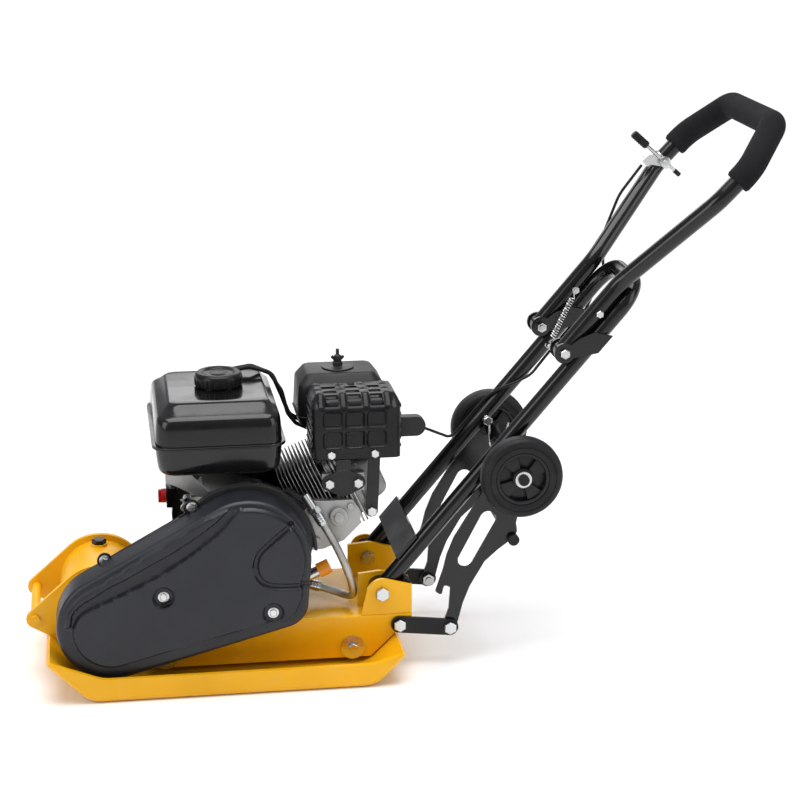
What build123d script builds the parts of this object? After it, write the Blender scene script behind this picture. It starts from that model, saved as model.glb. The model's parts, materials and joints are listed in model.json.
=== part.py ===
from build123d import *
import os
from math import cos, hypot, radians, sin, tan

# Walk-behind plate compactor with a horizontal-shaft petrol engine, in millimetres.
# The origin is the centre of the sole of the base plate. +Z is up, +X runs back to the operator,
# and the belt side of the machine faces -Y. Each sub-part is written as one STEP in parts/.

# ---- driving dimensions ----
PLATE_HALF_WIDTH = 175.0
PLATE_THICKNESS = 7.0
PLATE_FRONT_X = -257.0
PLATE_FRONT_Z = 60.0
PLATE_REAR_X = 257.0
PLATE_REAR_Z = 44.0
RIM_Z = 36.0
BEND_RADIUS = 40.0

EXCITER_X = -176.0
EXCITER_Z = 100.0
EXCITER_RADIUS = 60.0
BRACKET_Y = 61.0
BRACKET_THICKNESS = 8.0
TIE_ROD_X = -272.0
TIE_ROD_Z = 90.4

DECK_Z = 81.0
DECK_PLATE = 6.0
DECK_FRONT_X = -114.0
DECK_REAR_X = 276.0
DECK_HALF_WIDTH = 98.0
DECK_SKIRT_Z = 16.0
ISOLATOR_FRONT_X = -86.5
ISOLATOR_REAR_X = 188.0
ISOLATOR_Z = 32.0

CRANK_X = 33.0
CRANK_Z = 187.0
CYLINDER_TILT = 25.0
CYLINDER_Y = 5.0
BELT_Y = -132.0
CLUTCH_RADIUS = 54.0
PULLEY_RADIUS = 35.0
BELT_HEIGHT = 8.0

TUBE_RADIUS = 12.5
TUBE_WALL = 2.0
HANDLE_Y = 78.0
HANDLE_SLOPE = 49.85
PIVOT_X = 232.0
PIVOT_Z = 113.0
HINGE_ALONG = 441.5
HINGE_OFFSET = 25.6
LOWER_TOP_ALONG = 583.0

LINK_FRONT_X = 257.0
LINK_FRONT_Z = 65.0
LINK_REAR_X = 332.4
LINK_REAR_Z = 56.4
ROD_X = 425.6
ROD_Z = 189.2
WHEEL_X = 431.4
WHEEL_Z = 293.1
WHEEL_RADIUS = 60.0
WHEEL_WIDTH = 30.0
WHEEL_Y = 121.5
CAP_X = 7.5
TANK_CENTRE_Y = 34.0

FIT = 0.05

os.makedirs("parts", exist_ok=True)


# ---- helpers ----
def save(name, *solids):
    """Write the given solids as the sub-part `name`."""
    export_step(solids[0] if len(solids) == 1 else Compound(children=list(solids)), f"parts/{name}.step")


def side(sketch, y_from, y_to):
    """Extrude a sketch drawn in (x, z) between two y values."""
    face = Pos(0, y_to, 0) * (Plane.XZ * sketch)
    return extrude(face, amount=y_to - y_from, dir=(0, -1, 0))


def polygon(*points):
    """Closed sketch through (x, z) points given in either direction."""
    following = points[1:] + points[:1]
    area = sum(a[0] * b[1] - b[0] * a[1] for a, b in zip(points, following))
    return Polygon(*(points if area > 0 else points[::-1]), align=None)


def disc(x, z, radius):
    return Pos(x, z) * Circle(radius)


def hull(*sketches):
    """Tightest outline round several sketches."""
    edges = ShapeList()
    for sketch in sketches:
        edges += sketch.edges()
    return make_hull(edges)


def rod_y(x, z, radius, y_from, y_to):
    """Round bar along Y."""
    return side(disc(x, z, radius), min(y_from, y_to), max(y_from, y_to))


def ring_y(x, z, outer, inner, y_from, y_to):
    return side(disc(x, z, outer) - disc(x, z, inner), min(y_from, y_to), max(y_from, y_to))


def rod(start, end, radius, inner=0.0):
    """Round bar, or tube when `inner` is given, between two points."""
    axis = Vector(*end) - Vector(*start)
    section = Circle(radius) - Circle(inner) if inner else Circle(radius)
    return extrude(Plane(origin=start, z_dir=axis) * section, amount=axis.length)


def bolt(seat, axis, across, height, radius, length, nut=0.0):
    """Hexagon-head bolt: the head stands on `seat` along `axis`, the shank runs back from it.
    `nut` is the height of a nut at the far end of the shank."""
    plane = Plane(origin=seat, z_dir=axis)
    head = extrude(plane * RegularPolygon(across / 2, 6, major_radius=False), amount=height)
    head = head.chamfer(height * 0.18, None, head.faces().sort_by(Axis(seat, axis))[-1].edges())
    shank = extrude(plane * Circle(radius), amount=-length)
    solid = head + shank
    if nut:
        under = plane.offset(-length + nut)
        solid += extrude(under * RegularPolygon(across / 2, 6, major_radius=False), amount=-nut)
        solid += extrude(under * Circle(radius), amount=-nut * 1.4)
    return solid


def swept(points, radii, radius, inner=0.0):
    """Round tube along straight runs joined by arcs."""
    path = FilletPolyline(*points, radius=radii) if len(points) > 2 else Line(*points)
    section = Circle(radius) - Circle(inner) if inner else Circle(radius)
    return sweep(Plane(origin=path @ 0, z_dir=path % 0) * section, path=path)


def mirrored(solid):
    """Copy on the other side of the machine."""
    return solid.mirror(Plane.XZ)


def both(solid):
    """The solid and its copy on the other side."""
    return solid, mirrored(solid)


SLOPE = radians(HANDLE_SLOPE)


def on_handle(along, offset=0.0, y=0.0):
    """Point in the handle's own frame: distance up the tubes from the pivot, then out towards the engine."""
    x = PIVOT_X + along * cos(SLOPE) - offset * sin(SLOPE)
    z = PIVOT_Z + along * sin(SLOPE) + offset * cos(SLOPE)
    return (x, y, z)


def handle_xz(along, offset=0.0):
    x, _, z = on_handle(along, offset)
    return (x, z)


HINGE_X, HINGE_Z = handle_xz(HINGE_ALONG, HINGE_OFFSET)


# ---- base plate: a pressed tray turned up at both ends ----
def base_plate():
    t = PLATE_THICKNESS
    step = t * sin(radians(45))
    front_foot = PLATE_FRONT_X + PLATE_FRONT_Z
    rear_foot = PLATE_REAR_X - PLATE_REAR_Z
    inner_shift = t * tan(radians(22.5))
    outer = polygon(
        (PLATE_FRONT_X, PLATE_FRONT_Z),
        (front_foot, 0),
        (rear_foot, 0),
        (PLATE_REAR_X, PLATE_REAR_Z),
        (PLATE_REAR_X - step, PLATE_REAR_Z + step),
        (rear_foot - 4, RIM_Z),
        (front_foot + 19, RIM_Z),
        (PLATE_FRONT_X + step, PLATE_FRONT_Z + step),
    )
    corners = outer.vertices()
    feet = [v for v in corners if v.Y < 1]
    rims = [v for v in corners if abs(v.Y - RIM_Z) < 1]
    outer = fillet(feet, BEND_RADIUS)
    corners = [v for v in outer.vertices() if any((v.X - r.X) ** 2 + (v.Y - r.Y) ** 2 < 1 for r in rims)]
    outer = fillet(corners, 60)
    tray = side(outer, -PLATE_HALF_WIDTH, PLATE_HALF_WIDTH)
    side_edges = [e for e in tray.edges() if abs(abs(e.center().Y) - PLATE_HALF_WIDTH) < 0.1]
    low_edges = [e for e in side_edges if e.center().Z < 34]
    low_edges = [e for e in low_edges if abs(e.tangent_at(0.5).Y) < 0.1 and e.center().Z < 30]
    tray = fillet(low_edges, 10)
    reach = 30
    inner = polygon(
        (PLATE_FRONT_X + step - reach, PLATE_FRONT_Z + step + reach),
        (front_foot + inner_shift, t),
        (rear_foot - inner_shift, t),
        (PLATE_REAR_X - step + reach, PLATE_REAR_Z + step + reach),
    )
    low = [v for v in inner.vertices() if v.Y < t + 1]
    inner = fillet(low, BEND_RADIUS - t)
    cavity = side(inner, -PLATE_HALF_WIDTH + t, PLATE_HALF_WIDTH - t)
    return tray - cavity


def isolator_brackets():
    """Uprights on the base plate that carry the rubber mounts."""
    parts = []
    for x in (ISOLATOR_FRONT_X, ISOLATOR_REAR_X):
        foot = polygon((x - 24, PLATE_THICKNESS), (x + 24, PLATE_THICKNESS), (x, 12))
        outline = hull(disc(x, ISOLATOR_Z, 20), foot)
        outline -= disc(x, ISOLATOR_Z, 4.2)
        parts += both(side(outline, -64, -58) - base_plate())
    return parts


def exciter_bracket():
    """Side plate that holds the exciter, with a nose for the tie rod."""
    ring = disc(EXCITER_X, EXCITER_Z, EXCITER_RADIUS + 9)
    nose = disc(TIE_ROD_X, TIE_ROD_Z, 13)
    foot = polygon(
        (PLATE_FRONT_X + 8, PLATE_FRONT_Z),
        (-200, 5),
        (-126, 5),
        (-124, 60),
        (-150, 140),
        (TIE_ROD_X, TIE_ROD_Z),
    )
    outer_y = -BRACKET_Y - BRACKET_THICKNESS
    plate = side(hull(ring, nose), outer_y, -BRACKET_Y) + side(foot, outer_y, -BRACKET_Y)
    plate -= rod_y(EXCITER_X, EXCITER_Z, EXCITER_RADIUS + FIT, -100, 0)
    plate -= rod_y(TIE_ROD_X, TIE_ROD_Z, 7.2, -100, 0)
    room = polygon((-115, 0), (-90, 0), (-90, DECK_Z + 4), (-115, DECK_Z + 4))
    plate -= side(room, -100, 0)
    return (plate - base_plate()).solids().sort_by(SortBy.VOLUME)[-1]


# ---- exciter: housing, bearings and an eccentric shaft ----
def exciter_housing():
    body = ring_y(EXCITER_X, EXCITER_Z, EXCITER_RADIUS, 50, -75, 75)
    boss = rod((EXCITER_X, 40, EXCITER_Z + 55), (EXCITER_X, 40, EXCITER_Z + 63), 12)
    body += boss
    for end in (-75, 75):
        for angle in range(0, 360, 60):
            x = EXCITER_X + 55 * cos(radians(angle))
            z = EXCITER_Z + 55 * sin(radians(angle))
            body -= rod_y(x, z, 3.1, end - 12, end + 12)
    body -= rod((EXCITER_X, 40, EXCITER_Z + 40), (EXCITER_X, 40, EXCITER_Z + 70), 6.2)
    return body


def exciter_cap(outward):
    """Bearing cover at one end of the exciter; `outward` is -1 on the belt side."""
    face = outward * 75
    cover = rod_y(EXCITER_X, EXCITER_Z, 60, face, face + outward * 5)
    cover += ring_y(EXCITER_X, EXCITER_Z, 49.8, 36.2, face, face - outward * 24)
    cover += rod_y(EXCITER_X, EXCITER_Z, 26, face, face + outward * 11)
    if outward < 0:
        cover -= rod_y(EXCITER_X, EXCITER_Z, 13, face + 2, face + outward * 12)
    for angle in range(0, 360, 60):
        x = EXCITER_X + 55 * cos(radians(angle))
        z = EXCITER_Z + 55 * sin(radians(angle))
        cover -= rod_y(x, z, 3.2, face - 8, face + 8)
    return cover


def exciter_cap_bolts():
    bolts = []
    for outward in (-1, 1):
        for angle in range(0, 360, 60):
            x = EXCITER_X + 55 * cos(radians(angle))
            z = EXCITER_Z + 55 * sin(radians(angle))
            bolts.append(bolt((x, outward * 80, z), (0, outward, 0), 10, 4.5, 3, 16))
    return bolts


def exciter_bearing(outward):
    near = outward * 53
    far = outward * 73
    race = ring_y(EXCITER_X, EXCITER_Z, 36, 30, near, far)
    race += ring_y(EXCITER_X, EXCITER_Z, 24, 17.55, near, far)
    rollers = []
    for angle in range(0, 360, 36):
        x = EXCITER_X + 27 * cos(radians(angle))
        z = EXCITER_Z + 27 * sin(radians(angle))
        rollers.append(rod_y(x, z, 3.1, near, far))
    for roller in rollers:
        race += roller
    return race


def exciter_shaft():
    """Shaft whose middle carries a half-round eccentric weight."""
    shaft = rod_y(EXCITER_X, EXCITER_Z, 17.5, -74, 74)
    shaft += rod_y(EXCITER_X, EXCITER_Z, 12.5, -144, -74)
    weight = disc(EXCITER_X, EXCITER_Z, 44) & (Pos(EXCITER_X, EXCITER_Z - 25) * Rectangle(90, 50))
    shaft += side(weight, -48, 48)
    return shaft


def grooved_pulley(x, z, radius, bore, width=20.0):
    """Single-groove V pulley centred on the belt plane."""
    half = width / 2
    wheel = ring_y(x, z, radius, bore, BELT_Y - half, BELT_Y + half)
    groove = Polygon((-6.5, 0), (6.5, 0), (4.2, -11), (-4.2, -11), align=None)
    profile = Plane(origin=(x, BELT_Y, z + radius + 0.2), x_dir=(0, 1, 0), z_dir=(1, 0, 0)) * groove
    return wheel - revolve(profile, Axis((x, BELT_Y, z), (0, 1, 0)), 360)


def v_belt():
    """Belt that sits in both grooves with a little clearance."""
    def loop(shrink):
        return hull(
            disc(CRANK_X, CRANK_Z, CLUTCH_RADIUS - shrink),
            disc(EXCITER_X, EXCITER_Z, PULLEY_RADIUS - shrink),
        )
    return side(loop(0.8) - loop(0.8 + BELT_HEIGHT), BELT_Y - 3.6, BELT_Y + 3.6)


# ---- deck: welded engine bed on four rubber mounts ----
def isolators():
    mounts = []
    for x in (ISOLATOR_FRONT_X, ISOLATOR_REAR_X):
        mounts += both(rod_y(x, ISOLATOR_Z, 20, -92, -64) - rod_y(x, ISOLATOR_Z, 4.2, -93, -63))
    return mounts


def isolator_washers():
    rings = []
    for x in (ISOLATOR_FRONT_X, ISOLATOR_REAR_X):
        washer = ring_y(x, ISOLATOR_Z, 18, 4.2, -100.5, -98)
        rings += both(washer)
    return rings


def isolator_bolts():
    bolts = []
    for x in (ISOLATOR_FRONT_X, ISOLATOR_REAR_X):
        bolts += both(bolt((x, -100.5, ISOLATOR_Z), (0, -1, 0), 13, 5, 4, 49.5, 7))
    return bolts


def ear(y_outer, y_inner, square_nose):
    """Pivot plate that stands on the deck."""
    corners = polygon((201, DECK_Z), (DECK_REAR_X, DECK_Z), (DECK_REAR_X, DECK_Z + 44))
    outline = hull(disc(PIVOT_X, PIVOT_Z, 23), corners)
    if square_nose:
        outline = hull(outline, polygon((201, DECK_Z), (220, DECK_Z), (201, PIVOT_Z + 20)))
    outline -= disc(PIVOT_X, PIVOT_Z, 8.2)
    return side(outline, y_outer, y_inner)


def deck_frame():
    skirt = polygon(
        (DECK_FRONT_X, DECK_SKIRT_Z),
        (215, DECK_SKIRT_Z),
        (DECK_REAR_X, DECK_Z - 6),
        (DECK_REAR_X, DECK_Z),
        (DECK_FRONT_X, DECK_Z),
    )
    width = 2 * DECK_HALF_WIDTH
    solid = Pos((DECK_FRONT_X + DECK_REAR_X) / 2, 0, DECK_Z - DECK_PLATE / 2) * Box(
        DECK_REAR_X - DECK_FRONT_X, width, DECK_PLATE
    )
    for plate in both(side(skirt, -DECK_HALF_WIDTH, -DECK_HALF_WIDTH + 6)):
        solid += plate
    top_edges = [e for e in solid.edges() if abs(e.center().Z - DECK_Z) < 0.1]
    bend = [e for e in top_edges if abs(abs(e.center().Y) - DECK_HALF_WIDTH) < 0.1]
    solid = fillet([e for e in bend if e.length > 200], 4)
    for plate in both(ear(-DECK_HALF_WIDTH + 0.8, -92.8, False)):
        solid += plate
    for plate in both(ear(-64, -58, True)):
        solid += plate
    rest = polygon((262, DECK_Z), (DECK_REAR_X, DECK_Z), handle_xz(38, -25.6), handle_xz(17, -25.6))
    for block in both(side(rest, -92.8, -64)):
        solid += block
    for x in (ISOLATOR_FRONT_X, ISOLATOR_REAR_X):
        solid -= rod_y(x, ISOLATOR_Z, 4.2, -120, 120)
    for x in ENGINE_BOLT_X:
        for y in ENGINE_BOLT_Y:
            solid -= rod((x, y, DECK_Z - 20), (x, y, DECK_Z + 20), 4.2)
    solid -= rod_y(LINK_FRONT_X, LINK_FRONT_Z, 5.2, -120, 120)
    return solid


ENGINE_BOLT_X = (-48.0, 104.0)
ENGINE_BOLT_Y = (-38.0, 62.0)


def handle_stop_pads():
    """Rubber pads that the lower handle rests on."""
    pad = polygon(handle_xz(18, -25.5), handle_xz(38, -25.5), handle_xz(38, -12.9), handle_xz(18, -12.9))
    return both(side(pad, -89, -68))


def pivot_bolts():
    return both(bolt((PIVOT_X, -DECK_HALF_WIDTH + 0.8, PIVOT_Z), (0, -1, 0), 19, 7, 8, 49, 9))


# ---- engine ----
UP_TILT = radians(CYLINDER_TILT)
BARREL = Plane(
    origin=(CRANK_X, CYLINDER_Y, CRANK_Z),
    x_dir=(0, 1, 0),
    z_dir=(cos(UP_TILT), 0, sin(UP_TILT)),
)


def barrel_box(width, low, high, start, end, shift=0.0, corner=0.0):
    """Box in the cylinder's frame: width along Y, low..high across, start..end along the bore."""
    sketch = Pos(shift, (low + high) / 2) * Rectangle(width, high - low)
    if corner:
        sketch = fillet(sketch.vertices(), corner)
    return extrude(BARREL.offset(start) * sketch, amount=end - start)


def crankcase():
    outline = hull(
        disc(CRANK_X - 14, CRANK_Z + 2, 66),
        disc(CRANK_X + 40, CRANK_Z - 6, 52),
        polygon((-52, 110), (110, 110), (110, 150), (-20, 250)),
    )
    body = side(outline, -66, 76)
    foot = Pos(28, 12, DECK_Z + 7) * Box(176, 132, 14)
    body += fillet(foot.edges().filter_by(Axis.Z), 10)
    body += Pos(28, 12, DECK_Z + 22) * Box(130, 120, 20)
    lobe = fillet(polygon((80, 140), (176, 160), (200, 196), (196, 226), (150, 240), (80, 200)).vertices(), 8)
    body += side(lobe, -60, 66)
    body -= barrel_box(130, -72, 100, 86, 260)
    body -= rod_y(CRANK_X, CRANK_Z, 44, -52, 62)
    body -= rod_y(CRANK_X, CRANK_Z, 12.05, -70, 90)
    body -= extrude(BARREL * Circle(34), amount=90)
    for x in ENGINE_BOLT_X:
        for y in ENGINE_BOLT_Y:
            body -= rod((x, y, DECK_Z - 20), (x, y, DECK_Z + 40), 4.2)
            body -= rod((x, y, DECK_Z + 14), (x, y, DECK_Z + 40), 10)
    return body


def engine_bolts():
    bolts = []
    for x in ENGINE_BOLT_X:
        for y in ENGINE_BOLT_Y:
            bolts.append(bolt((x, y, DECK_Z + 14), (0, 0, 1), 13, 6, 4, 27, 6))
    return bolts


def crankcase_cover():
    """Side cover on the belt side, with ribs and the oil seal boss."""
    outline = hull(
        disc(CRANK_X - 14, CRANK_Z + 2, 62),
        disc(CRANK_X + 40, CRANK_Z - 6, 48),
        polygon((-46, 114), (104, 114), (104, 150), (-18, 244)),
    )
    cover = side(outline, -76, -66)
    cover += rod_y(CRANK_X, CRANK_Z, 30, -84, -76)
    for angle in range(20, 360, 40):
        x = CRANK_X + 44 * cos(radians(angle))
        z = CRANK_Z - 4 + 44 * sin(radians(angle))
        cover += rod_y(x, z, 7, -80, -76)
    return cover - rod_y(CRANK_X, CRANK_Z, 12.05, -90, -60)


def cylinder():
    """Finned barrel with an open bore."""
    barrel = extrude(BARREL.offset(86) * Circle(44), amount=68)
    for start in range(88, 140, 8):
        barrel += barrel_box(124, -62, 70, start, start + 2.4, corner=12)
    barrel += barrel_box(104, -50, 50, 86, 89, corner=8)
    return barrel - extrude(BARREL.offset(80) * Circle(34), amount=80)


def plug_bar(radius, start, length):
    """Round bar along the spark plug's axis, which runs across the head."""
    bar = Cylinder(radius, length, align=(Align.CENTER, Align.CENTER, Align.MIN))
    return BARREL * Pos(start, -12, 172) * Rot(0, 90, 0) * bar


def cylinder_head():
    head = barrel_box(112, -50, 56, 154, 162, corner=10)
    for start in (165, 171, 177):
        head += barrel_box(124, -56, 60, start, start + 2.4, corner=12)
    head += barrel_box(96, -46, 52, 162, 184, corner=8)
    head += barrel_box(104, -50, 54, 180, 188, corner=10)
    port = side(Pos(180, 276) * Rectangle(62, 26), -60, -44)
    head += port - barrel_box(300, -200, 200, 0, 141)
    head -= plug_bar(6.2, 30, 60)
    for x, z, radius in ((159, 276, 3.2), (201, 276, 3.2), (222, 229, 4.2)):
        head -= rod_y(x, z, radius, -66, -40)
    return head


def valve_cover():
    cover = barrel_box(92, -44, 36, 188.1, 226, corner=16)
    top = cover.faces().sort_by(Axis(BARREL.origin, BARREL.z_dir))[-1]
    return fillet(top.edges(), 10)


def spark_plug():
    return plug_bar(6, 38, 44)


def spark_plug_boot():
    return plug_bar(10.5, 63, 28) - plug_bar(6.2, 60, 23)


def crankshaft():
    shaft = rod_y(CRANK_X, CRANK_Z, 12, -148, 128)
    web = hull(disc(CRANK_X, CRANK_Z, 20), disc(CRANK_X, CRANK_Z - 8, 32))
    shaft += side(web, -34, -18) + side(web, 28, 44)
    return shaft


def clutch_drum():
    drum = grooved_pulley(CRANK_X, CRANK_Z, CLUTCH_RADIUS, 12.05, 22)
    drum += ring_y(CRANK_X, CRANK_Z, 50, 40, BELT_Y + 11, BELT_Y + 34)
    drum += ring_y(CRANK_X, CRANK_Z, 20, 12.05, BELT_Y + 11, BELT_Y + 30)
    return drum


def flywheel():
    wheel = ring_y(CRANK_X, CRANK_Z, 82, 12.05, 92, 104)
    wheel += ring_y(CRANK_X, CRANK_Z, 82, 66, 104, 116)
    for angle in range(0, 360, 30):
        blade = Pos(CRANK_X, 0, CRANK_Z) * Rot(0, angle, 0) * Pos(54, 112, 0) * Box(30, 16, 2.4)
        wheel += blade
    return wheel


def recoil_housing():
    """Fan cover with the starter dome on its outer face."""
    shell = ring_y(CRANK_X, CRANK_Z, 98, 94, 78, 136)
    shell += rod_y(CRANK_X, CRANK_Z, 98, 136, 139)
    shell += ring_y(CRANK_X, CRANK_Z, 98, 60, 78, 81)
    dome = rod_y(CRANK_X, CRANK_Z, 72, 139, 166)
    dome = fillet(dome.faces().sort_by(Axis.Y)[-1].edges(), 12)
    dome -= rod_y(CRANK_X, CRANK_Z, 68, 135, 160)
    shell += dome
    for index in range(14):
        angle = 360 / 14 * index
        slot = Pos(CRANK_X, 0, CRANK_Z) * Rot(0, angle, 0) * Pos(84, 137, 0) * Box(16, 12, 6)
        shell -= slot
    shell += rod((-28, 150, 218.7), (-58, 150, 246), 9)
    shell += Pos(-65.5, 104, 211) * Box(13, 28, 30)
    return shell - rod((-20, 150, 211.5), (-70, 150, 257), 3)


def recoil_grip():
    start = Vector(-59, 150, 247)
    along = Vector(-22, 0, 20).normalized()
    stem = rod(tuple(start), tuple(start + along * 8), 5)
    bar = Plane(origin=start + along * 14, x_dir=(0, 1, 0), z_dir=along) * Box(58, 15, 14)
    return stem + fillet(bar.edges(), 5)


def lofted(sections):
    """Solid through rounded rectangles given as (z, x0, x1, y0, y1, corner)."""
    faces = []
    for z, x0, x1, y0, y1, corner in sections:
        outline = Pos((x0 + x1) / 2, (y0 + y1) / 2) * Rectangle(x1 - x0, y1 - y0)
        faces.append(Pos(0, 0, z) * fillet(outline.vertices(), corner))
    return loft(faces, ruled=True)


def tank_lower():
    shell = lofted([(302, -80, 80, -74, 142, 26), (312, -87, 87, -82, 150, 26), (343, -91, 91, -87, 155, 24)])
    hollow = lofted(
        [
            (305, -78, 78, -72, 140, 24),
            (313, -85, 85, -80, 148, 24),
            (343, -89, 89, -85, 153, 22),
        ]
    )
    flange = lofted([(343, -96, 96, -90, 158, 26), (345.5, -96, 96, -90, 158, 26)])
    window = lofted([(342, -89, 89, -85, 153, 22), (346, -89, 89, -85, 153, 22)])
    return shell - hollow + (flange - window)


def tank_upper():
    shell = lofted(
        [
            (345.5, -91, 91, -87, 155, 24),
            (384, -86, 86, -82, 150, 26),
            (403, -66, 74, -50, 118, 20),
        ]
    )
    hollow = lofted(
        [
            (345.5, -89, 89, -85, 153, 22),
            (383, -84, 84, -80, 148, 24),
            (401, -64, 72, -48, 116, 18),
        ]
    )
    flange = lofted([(345.5, -96, 96, -90, 158, 26), (348, -96, 96, -90, 158, 26)])
    window = lofted([(345, -89, 89, -85, 153, 22), (349, -89, 89, -85, 153, 22)])
    neck = Pos(CAP_X, TANK_CENTRE_Y, 400) * Cylinder(27, 12, align=(Align.CENTER, Align.CENTER, Align.MIN))
    hole = Pos(CAP_X, TANK_CENTRE_Y, 390) * Cylinder(23, 30, align=(Align.CENTER, Align.CENTER, Align.MIN))
    return shell - hollow + (flange - window) + neck - hole


def fuel_cap():
    low = (Align.CENTER, Align.CENTER, Align.MIN)
    cap = Pos(CAP_X, TANK_CENTRE_Y, 405) * Cylinder(35.5, 20, align=low)
    cap = fillet(cap.faces().sort_by(Axis.Z)[-1].edges(), 5)
    cap -= Pos(CAP_X, TANK_CENTRE_Y, 404) * Cylinder(27.5, 9, align=low)
    cap -= Pos(CAP_X, TANK_CENTRE_Y, 423.5) * (Cylinder(19, 4, align=low) - Cylinder(12, 4, align=low))
    return cap


def carburettor():
    body = Pos(206, 84, 314) * Box(44, 34, 46)
    body += Pos(206, 84, 286) * Cylinder(19, 26)
    return body - rod((180, 84, 320), (230, 84, 320), 10)


def air_cleaner_base():
    return lofted([(337, 128, 250, 26, 108, 14), (352, 124, 254, 22, 112, 16)])


def air_cleaner_cover():
    shell = lofted([(352, 124, 254, 18, 116, 18), (400, 126, 250, 20, 112, 18), (416, 134, 242, 30, 104, 16)])
    hollow = lofted(
        [
            (352, 127, 251, 21, 113, 16),
            (399, 129, 247, 23, 109, 16),
            (413, 137, 239, 33, 101, 14),
        ]
    )
    stud_hole = Pos(188, 66, 400) * Cylinder(3.3, 40)
    return shell - hollow - stud_hole


def air_filter():
    block = lofted([(353, 136, 242, 32, 102, 14), (396, 136, 242, 32, 102, 14)])
    return block - Pos(188, 66, 375) * Box(70, 38, 60)


def wing_nut():
    low = (Align.CENTER, Align.CENTER, Align.MIN)
    nut = Pos(188, 66, 416.3) * Cylinder(22, 2.5, align=low)
    nut += Pos(188, 66, 418) * Cylinder(9, 8, align=low)
    nut += Pos(188, 66, 424) * Box(22, 4, 12, align=low)
    return nut + Pos(188, 66, 394) * Cylinder(3, 50, align=low)


def muffler():
    can = lofted([(320, 148, 250, -57.5, 6, 16), (384, 148, 250, -57.5, 6, 16)])
    can = fillet(can.faces().sort_by(Axis.Z)[0].edges() + can.faces().sort_by(Axis.Z)[-1].edges(), 8)
    can += Pos(180, -59.15, 312) * Box(22, 3.3, 24)
    can += Pos(180, -55.4, 330) * Box(22, 10.8, 12)
    return can + rod((248, -22, 346), (268, -22, 346), 13)


def muffler_guard():
    """Heat shield: face, top and sides, open at the back and below."""
    outer = lofted([(312, 136, 264, -64, 14, 10), (392, 136, 264, -64, 14, 10)])
    outer = fillet(outer.edges().filter_by(Axis.X).sort_by(Axis.Z)[-2:], 9)
    inner = lofted([(300, 139, 261, -61, 30, 8), (389, 139, 261, -61, 30, 8)])
    shield = outer - inner
    for x in (168, 189.5, 211, 232.5):
        shield -= Pos(x, -20, 390) * Box(8, 44, 20)
    shield -= Pos(262, -22, 346) * Box(20, 34, 34)
    for x in (162.5, 226):
        shield -= rod_y(x, 319, 3.2, -70, -50)
    return shield


def guard_bolts():
    return [bolt((x, -64, 319), (0, -1, 0), 11, 4.5, 3, 6.3) for x in (162.5, 226)]


def exhaust_deflector():
    plate = hull(disc(292, 346, 15), polygon((270, 331), (270, 361), (272, 361), (272, 331)))
    return side(plate, -28, -12) - side(hull(disc(292, 346, 12), Pos(272, 346) * Rectangle(10, 24)), -25, -15)


def exhaust_flange():
    plate = hull(disc(159, 276, 11), disc(201, 276, 11), disc(180, 276, 20))
    plate -= disc(159, 276, 4.3)
    plate -= disc(201, 276, 4.3)
    return side(plate, -66, -60.1) + side(Pos(180, 292) * Rectangle(22, 36), -66, -60.1)


def exhaust_nuts():
    return [bolt((x, -66, 276), (0, -1, 0), 13, 6, 3, 20) for x in (159, 201)]


def muffler_stay():
    strap = hull(disc(226, 319, 9), disc(222, 229, 9)) - disc(226, 319, 3.3) - disc(222, 229, 4.2)
    return side(strap, -60.8, -57.8)


def muffler_stay_bolt():
    return bolt((222, -60.8, 229), (0, -1, 0), 13, 5, 4, 16)


def engine_switch():
    knob = rod((-72.2, 104, 211), (-79.2, 104, 211), 11)
    return knob + Pos(-81, 104, 211) * Box(6, 6, 20)


def dipstick():
    cap = rod((-57, 44, 154), (-68, 44, 160.3), 10.5)
    return cap + rod((-66, 44, 159.1), (-73, 44, 163.1), 7)


def fuel_hose():
    return swept(
        [
            (34, 96, 411),
            (66, 98, 412),
            (96, 98, 398),
            (108, 96, 366),
            (116, 92, 338),
            (150, 88, 322),
            (183.8, 84, 322),
        ],
        [10, 14, 14, 14, 14],
        3.2,
    )


# The drain hose hangs between two screwed fittings: down beside the engine and back along the deck.
HOSE_RADIUS = 5.8
HOSE_ROUTE = [
    (139, -85, 236),
    (157, -89, 206),
    (173, -90, 172),
    (186, -87, 138),
    (194, -76, 107),
    (188, -50, 93),
    (164, -33, 98),
    (134, -26, 106),
]


def cord_radii(points):
    """Arc radius at each inner point: as large as the shorter neighbouring run allows."""
    radii = []
    for before, here, after in zip(points, points[1:], points[2:]):
        one = Vector(*here) - Vector(*before)
        two = Vector(*after) - Vector(*here)
        half_turn = radians(one.get_angle(two)) / 2
        radii.append(0.45 * min(one.length, two.length) / tan(half_turn))
    return radii


def drain_fittings():
    ends = []
    for here, following, length in ((HOSE_ROUTE[0], HOSE_ROUTE[1], 36), (HOSE_ROUTE[-1], HOSE_ROUTE[-2], 22)):
        back = (Vector(*here) - Vector(*following)).normalized()
        start = Vector(*here) + back * 0.1
        ends.append(rod(tuple(start), tuple(start + back * length), 6.5))
    return ends


def drain_hose():
    return swept(HOSE_ROUTE, cord_radii(HOSE_ROUTE), HOSE_RADIUS)


def drain_pipe():
    return rod((116, -78, 135.4), (140, -78, 146.6), 8)


def drain_cap():
    return rod((140.3, -78, 146.7), (157, -78, 154.5), 11)


# ---- belt guard ----
COVER_FRONT = (-162.5, 104.5, 78.5)
COVER_REAR = (31.0, 194.0, 92.0)


def cover_outline(grow=0.0):
    """Belt guard seen from the side, grown or shrunk by `grow`."""
    front = disc(COVER_FRONT[0], COVER_FRONT[1], COVER_FRONT[2] + grow)
    rear = disc(COVER_REAR[0], COVER_REAR[1], COVER_REAR[2] + grow)
    heel = disc(80, 128, 38 + grow)
    return hull(front, rear, heel)


COVER_BOLTS = ((-88.9, 150.9), (66.2, 118.0))


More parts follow.
